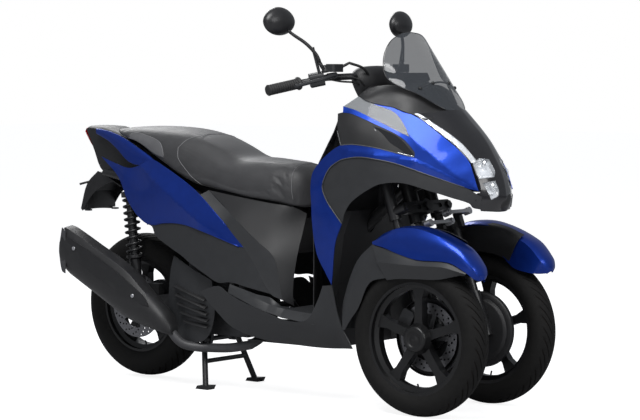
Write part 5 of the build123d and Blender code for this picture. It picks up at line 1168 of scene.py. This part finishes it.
class SCOOTER_OT_running_gear(Maker, bpy.types.Operator):
    """Builds the muffler, the spring units and the louvred drive cover"""
    bl_idname = "scooter.running_gear"
    bl_label = "Muffler, springs and covers"

    def build(self, context):
        self.muffler()
        self.shocks()
        bm = bmesh.new()
        patch(bm, [(x, z, LOUVRE_EDGE_HALF) for x, z in LOUVRE_EDGE], LOUVRE_CROWN, cell=11)
        piece("louvred_cover", bm, "moulding", "chassis", ("radiator_cover",), wall=5)
        bm = bmesh.new()
        for (x0, z0), (x1, z1) in LOUVRES:
            slope = Matrix.Rotation(math.atan2(z0 - z1, x1 - x0), 4, "Y")
            mid = Vector(((x0 + x1) / 2, LOUVRE_Y, (z0 + z1) / 2))
            half = LOUVRE_SIZE + Vector((math.hypot(x1 - x0, z1 - z0) / 2, 0, 0))
            block(bm, mid - half, mid + half, 1.6, slope @ Matrix.Rotation(LOUVRE_TILT, 4, "X"))
        piece("louvres", bm, "moulding_dark", "chassis", edge=0)

    @staticmethod
    def muffler():
        """The muffler with its shield, end cap and mouth, and the pipe that leads to it."""
        rows = [[(x, y + across * wide, z + high * tall) for across, high in MUFFLER_SECTION]
                for x, z, tall, wide, y in MUFFLER]
        bm = bmesh.new()
        skin(bm, rows, closed=True, steps=(4, 2))
        fill_ends(bm)
        piece("muffler", bm, "exhaust_black", "chassis", ("exhaust",), edge=1.5, recalc=True)
        bm = bmesh.new()
        patch(bm, SHIELD, SHIELD_CROWN, cell=12, lift=1.2)
        piece("muffler_shield", bm, "moulding_dark", "chassis", wall=3.0, edge=1.0)
        bm = bmesh.new()
        for at in SHIELD_BOLTS:
            turned(bm, at, BOLT, steps=20, axis=(0, -1, 0))
        piece("shield_bolts", bm, "steel", "chassis", edge=0, recalc=True)
        bm = bmesh.new()
        patch(bm, MUFFLER_CAP, cell=10, lift=1.5)
        piece("muffler_end", bm, "exhaust_grey", "chassis", wall=3.0)
        bm = bmesh.new()
        turned(bm, MOUTH_AT, MOUTH, steps=28, axis=MOUTH_WAY)
        piece("muffler_mouth", bm, "steel", "chassis", edge=0, recalc=True)
        bm = bmesh.new()
        bar(bm, HEADER, HEADER_R, sides=16)
        piece("header_pipe", bm, "exhaust_grey", "chassis", edge=0)

    @staticmethod
    def shocks():
        """The two spring units beside the rear wheel."""
        length = (SHOCK_LOW - SHOCK_TOP).length
        along = (SHOCK_LOW - SHOCK_TOP) / length
        out = Vector((0, 1, 0))
        side = along.cross(out).normalized()
        count = COIL_TURNS * COIL_STEPS
        helix = []
        for k in range(count + 1):
            a = math.tau * k / COIL_STEPS
            at = COIL_START + (length - COIL_END - COIL_START) * k / count
            helix.append(SHOCK_TOP + along * at + (side * math.cos(a) + out * math.sin(a)) * COIL_R)
        bm = bmesh.new()
        bar(bm, helix, WIRE_R, sides=8, steps=1)
        add_other_side(bm)
        piece("shock_springs", bm, "satin_black", "chassis", ("rear_shocks",), edge=0)
        # along, radius: the upper eye, the upper cup, the tube, the lower cup, the damper, the lower eye
        upper = ((-16, 0), (-16, 15), (10, 17), (14, 31), (32, 31), (34, 16))
        lower = ((-92, 16), (-90, 30), (-80, 30), (-76, 21), (-16, 19), (-14, 15), (15, 15), (15, 0))
        bm = bmesh.new()
        turned(bm, SHOCK_TOP, (*upper, *((length + at, r) for at, r in lower)), steps=28, axis=along)
        add_other_side(bm)
        piece("shock_bodies", bm, "satin_black", "chassis", edge=0.6, recalc=True)


# ---------------------------------------------------------------- handlebar furniture
MIRROR_MID = Vector((206, 330, 1258))
MIRROR_FACE = Vector((-1, -0.12, -0.06)).normalized()
MIRROR_HALF = (66, 46)     # half width and half height of the head
MIRROR_FRONT, MIRROR_BACK = 9, 32   # its depth on the glass's side and behind
MIRROR_TAPER = 0.10        # how much the head narrows to its top
GLASS_HALF, GLASS_OUT = (58, 38), 10.2
MIRROR_STEM = ((300, 205, 1096), (295, 222, 1116), (286, 236, 1150), (266, 264, 1186), (236, 300, 1218),
               (222, 318, 1238))
STEM_NUT_AT, STEM_NUT_WAY = (300, 205, 1092), (-0.15, 0.1, 1)
STEM_NUT = ((0, 0), (0, 11), (8, 12), (12, 9), (24, 8), (26, 0))
GRIP_START, GRIP_END = Vector((234, -250, 1059)), Vector((196, -372, 1035))
GRIP_COLLAR = ((8, 11), (8, 21), (12, 22), (16, 17))
GRIP_RIB = ((0, 16.2), (1.2, 17.6), (5.2, 17.6), (6.4, 16.2))
GRIP_RIBS, RIBS_START, RIBS_END = 12, 18, 8   # how many, and what is left plain at each end
GRIP_TIP = ((-6, 17.5), (-1, 18.5), (2, 16), (3, 0))
COWL_ROWS = (
    # z, middle x, half length, half width
    (1012, 352, 40, 82), (1040, 350, 52, 95), (1072, 341, 56, 100), (1096, 334, 50, 90), (1108, 330, 34, 70),
    (1111, 330, 16, 40),
)
COWL_PINCH = 0.12          # how much the cowl's sides are drawn in
COWL_RISE = 0.2            # how much its front is higher than its middle, over its half length
CABLES = (
    # right side's points, radius: the brake hose, then two cables
    (((318, -170, 1102), (350, -144, 1124), (372, -92, 1104), (368, -40, 1052)), 4.5),
    (((300, -196, 1072), (324, -160, 1064), (352, -100, 1056), (366, -52, 1016)), 3.2),
    (((292, -206, 1080), (330, -170, 1080), (362, -110, 1070), (372, -58, 1020)), 3.2),
)


class SCOOTER_OT_bars(Maker, bpy.types.Operator):
    """Builds the mirrors, the grips, the cables and the cowl of the handlebar"""
    bl_idname = "scooter.bars"
    bl_label = "Handlebar furniture"

    def build(self, context):
        turn_to = MIRROR_FACE.to_track_quat("Z", "Y").to_matrix().to_4x4()
        place = Matrix.Translation(MIRROR_MID * MM) @ turn_to
        bm = bmesh.new()
        ball = bmesh.ops.create_uvsphere(bm, u_segments=40, v_segments=20, radius=1.0)["verts"]
        for vert in ball:
            x, y, z = vert.co
            wide = MIRROR_HALF[0] * (1 - MIRROR_TAPER * max(y, 0))
            thick = MIRROR_BACK * z if z <= 0 else MIRROR_FRONT * min(z * 3, 1)
            vert.co = Vector((x * wide, y * MIRROR_HALF[1], thick)) * MM
        bmesh.ops.transform(bm, matrix=place, verts=ball)
        bar(bm, MIRROR_STEM, (6.5, 5.0), sides=14, steps=5)
        turned(bm, STEM_NUT_AT, STEM_NUT, steps=24, axis=STEM_NUT_WAY)
        add_other_side(bm)
        piece("mirror_heads", bm, "satin_black", "steering", ("mirrors",), edge=0, recalc=True)
        bm = bmesh.new()
        disc = bmesh.ops.create_circle(bm, cap_ends=True, segments=48, radius=1.0)["verts"]
        for vert in disc:
            vert.co = Vector((vert.co.x * GLASS_HALF[0], vert.co.y * GLASS_HALF[1], GLASS_OUT)) * MM
        bmesh.ops.transform(bm, matrix=place, verts=disc)
        face_out(bm, list(bm.faces), MIRROR_FACE)
        add_other_side(bm)
        piece("mirror_faces", bm, "mirror_face", "steering", ("mirror_glass",), edge=0)

        length = (GRIP_END - GRIP_START).length
        line = list(GRIP_COLLAR)
        for k in range(GRIP_RIBS):
            at = RIBS_START + k * (length - RIBS_START - RIBS_END) / GRIP_RIBS
            line += [(at + more, r) for more, r in GRIP_RIB]
        line += [(length + more, r) for more, r in GRIP_TIP]
        bm = bmesh.new()
        turned(bm, GRIP_START, line, steps=32, axis=GRIP_END - GRIP_START)
        add_other_side(bm)
        piece("grip_rubbers", bm, "soft_rubber", "steering", ("grips",), edge=0, recalc=True)

        angles = np.linspace(0, math.tau, 24, endpoint=False)
        rows = [[(x + long * math.cos(a) * (1 - COWL_PINCH * math.sin(a) ** 2), wide * math.sin(a),
                  z + COWL_RISE * long * math.cos(a)) for a in angles] for z, x, long, wide in COWL_ROWS]
        bm = bmesh.new()
        skin(bm, rows, closed=True, steps=(3, 1))
        fill_ends(bm)
        piece("bar_cover", bm, "moulding_dark", "steering", ("bar_cowl",), edge=0, recalc=True)

        bm = bmesh.new()
        for points, radius in CABLES:
            for turn in (1, -1):
                bar(bm, [(x, turn * y, z) for x, y, z in points], radius, sides=10, steps=6)
        piece("bar_cables", bm, "soft_rubber", "steering", edge=0)


# ---------------------------------------------------------------- camera, floor and light
CAMERA_AT = (4.957, -6.110, 1.095)
CAMERA_AIM = (0.11426, 0.0, 0.62865)
LENS_MM = 129.94
SENSOR_MM = 36.0
LIGHT_AIM = (0, 0, 0.6)
LIGHTS = (
    # name, place, width, watts
    ("key", (1.2, -3.0, 4.8), 3.2, 250), ("fill", (5.0, -1.2, 2.6), 2.6, 70),
    ("rim", (-3.6, 2.2, 3.4), 2.4, 90), ("low", (1.5, -5.5, 0.9), 2.2, 12),
)
SKY = (0.86, 0.90, 0.96, 1)
SKY_STRENGTH = 0.34
FLOOR_GLOW = 0.86          # light that the floor adds where the camera sees it
FLOOR_HALF = 30


class SCOOTER_OT_stage(Maker, bpy.types.Operator):
    """Sets the camera, a pale floor and soft studio light"""
    bl_idname = "scooter.stage"
    bl_label = "Stage"

    def build(self, context):
        scene = context.scene
        camera = bpy.data.objects.new("camera", bpy.data.cameras.new("camera"))
        camera.data.lens, camera.data.sensor_width, camera.data.clip_end = LENS_MM, SENSOR_MM, 100
        self.point_at(camera, CAMERA_AT, CAMERA_AIM)
        scene.camera = camera

        bm = bmesh.new()
        bmesh.ops.create_grid(bm, x_segments=1, y_segments=1, size=FLOOR_HALF)
        mesh = bpy.data.meshes.new("floor")
        bm.to_mesh(mesh)
        bm.free()
        floor = bpy.data.objects.new("floor", mesh)
        scene.collection.objects.link(floor)
        mesh.materials.append(self.floor_material(scene.scooter_colours.floor))

        for name, at, size, power in LIGHTS:
            lamp = bpy.data.objects.new(name, bpy.data.lights.new(name, "AREA"))
            lamp.data.shape = "DISK"
            lamp.data.size = size
            lamp.data.energy = power
            self.point_at(lamp, at, LIGHT_AIM)

        world = bpy.data.worlds.new("studio")
        world.use_nodes = True
        nodes, links = world.node_tree.nodes, world.node_tree.links
        path = nodes.new("ShaderNodeLightPath")
        seen = nodes.new("ShaderNodeMath")
        seen.operation = "MAXIMUM"
        pale = nodes.new("ShaderNodeBackground")
        pale.inputs["Color"].default_value = (1, 1, 1, 1)
        pale.inputs["Strength"].default_value = 1.0
        soft = nodes["Background"]
        soft.inputs["Color"].default_value = SKY
        soft.inputs["Strength"].default_value = SKY_STRENGTH
        blend = nodes.new("ShaderNodeMixShader")
        links.new(path.outputs["Is Camera Ray"], seen.inputs[0])
        links.new(path.outputs["Is Transmission Ray"], seen.inputs[1])
        links.new(seen.outputs[0], blend.inputs[0])
        links.new(soft.outputs[0], blend.inputs[1])
        links.new(pale.outputs[0], blend.inputs[2])
        links.new(blend.outputs[0], nodes["World Output"].inputs[0])
        scene.world = world
        scene.view_settings.view_transform = "Standard"

    @staticmethod
    def point_at(obj, at, aim):
        """Puts a camera or a lamp in its place and turns it to what it looks at."""
        obj.location = at
        obj.rotation_euler = (Vector(aim) - Vector(at)).to_track_quat("-Z", "Y").to_euler()
        bpy.context.scene.collection.objects.link(obj)

    @staticmethod
    def floor_material(colour):
        """White to the camera except where the object's shadow falls."""
        material = bpy.data.materials.new("floor")
        material.use_nodes = True
        nodes, links = material.node_tree.nodes, material.node_tree.links
        shader = nodes["Principled BSDF"]
        shader.inputs["Base Color"].default_value = (*colour, 1)
        shader.inputs["Roughness"].default_value = 0.9
        shader.inputs["Specular IOR Level"].default_value = 0.1
        shader.inputs["Emission Color"].default_value = (1, 1, 1, 1)
        path = nodes.new("ShaderNodeLightPath")
        glow = nodes.new("ShaderNodeMath")
        glow.operation = "MULTIPLY"
        glow.inputs[1].default_value = FLOOR_GLOW
        links.new(path.outputs["Is Camera Ray"], glow.inputs[0])
        links.new(glow.outputs[0], shader.inputs["Emission Strength"])
        return material


# ---------------------------------------------------------------- finishes of the carried-over pieces
NODE_FINISHES = {
    "blue": "paint_blue", "trim": "moulding", "frame_metal": "satin_black", "cast_metal": "cast_dark",
    "steel": "steel", "disc": "disc_steel", "wheel": "wheel_black", "tyre": "tyre_rubber",
    "rubber": "soft_rubber", "seat_cover": "seat_hide", "lamp": "lens", "tail_lens": "tail_red",
    "screen": "tinted", "mirror": "mirror_face", "exhaust": "exhaust_black",
}
SPECIAL_FINISHES = {"inner_shield": "moulding_dark", "knee_shield": "moulding_dark", "dash": "moulding_dark",
                    "storage_box": "moulding_dark"}


class SCOOTER_OT_frame_finish(Maker, bpy.types.Operator):
    """Gives the frame, wheels and running gear their finishes"""
    bl_idname = "scooter.frame_finish"
    bl_label = "Running gear finish"

    def build(self, context):
        slots = {part["node"]: part["material_slot"] for part in frame["record"]["subparts"]}
        for name, obj in frame["nodes"].items():
            chosen = finish_of(SPECIAL_FINISHES.get(name, NODE_FINISHES[slots[name]]))
            obj.data.materials.clear()
            obj.data.materials.append(chosen)


class SCOOTER_PT_build(bpy.types.Panel):
    """Sizes, colours and build buttons"""
    bl_label = "Scooter"
    bl_idname = "SCOOTER_PT_build"
    bl_space_type = "VIEW_3D"
    bl_region_type = "UI"
    bl_category = "Scooter"

    def draw(self, context):
        for group in (context.scene.scooter_colours, context.scene.scooter_sizes):
            for name in group.__annotations__:
                self.layout.prop(group, name)
        for maker in MAKERS:
            self.layout.operator(maker.bl_idname)


MAKERS = (
    SCOOTER_OT_frame_finish,
    SCOOTER_OT_front_panels,
    SCOOTER_OT_rear_panels,
    SCOOTER_OT_nose,
    SCOOTER_OT_fenders,
    SCOOTER_OT_tyres,
    SCOOTER_OT_seat,
    SCOOTER_OT_tail,
    SCOOTER_OT_running_gear,
    SCOOTER_OT_bars,
    SCOOTER_OT_stage,
)
CLASSES = (ScooterColours, ScooterSizes, *MAKERS, SCOOTER_PT_build)


def register():
    for cls in CLASSES:
        bpy.utils.register_class(cls)
    bpy.types.Scene.scooter_colours = PointerProperty(type=ScooterColours)
    bpy.types.Scene.scooter_sizes = PointerProperty(type=ScooterSizes)


def unregister():
    del bpy.types.Scene.scooter_sizes
    del bpy.types.Scene.scooter_colours
    for cls in reversed(CLASSES):
        bpy.utils.unregister_class(cls)


def main():
    register()
    for maker in MAKERS:
        group, name = maker.bl_idname.split(".")
        getattr(getattr(bpy.ops, group), name)()


if __name__ == "__main__":
    main()
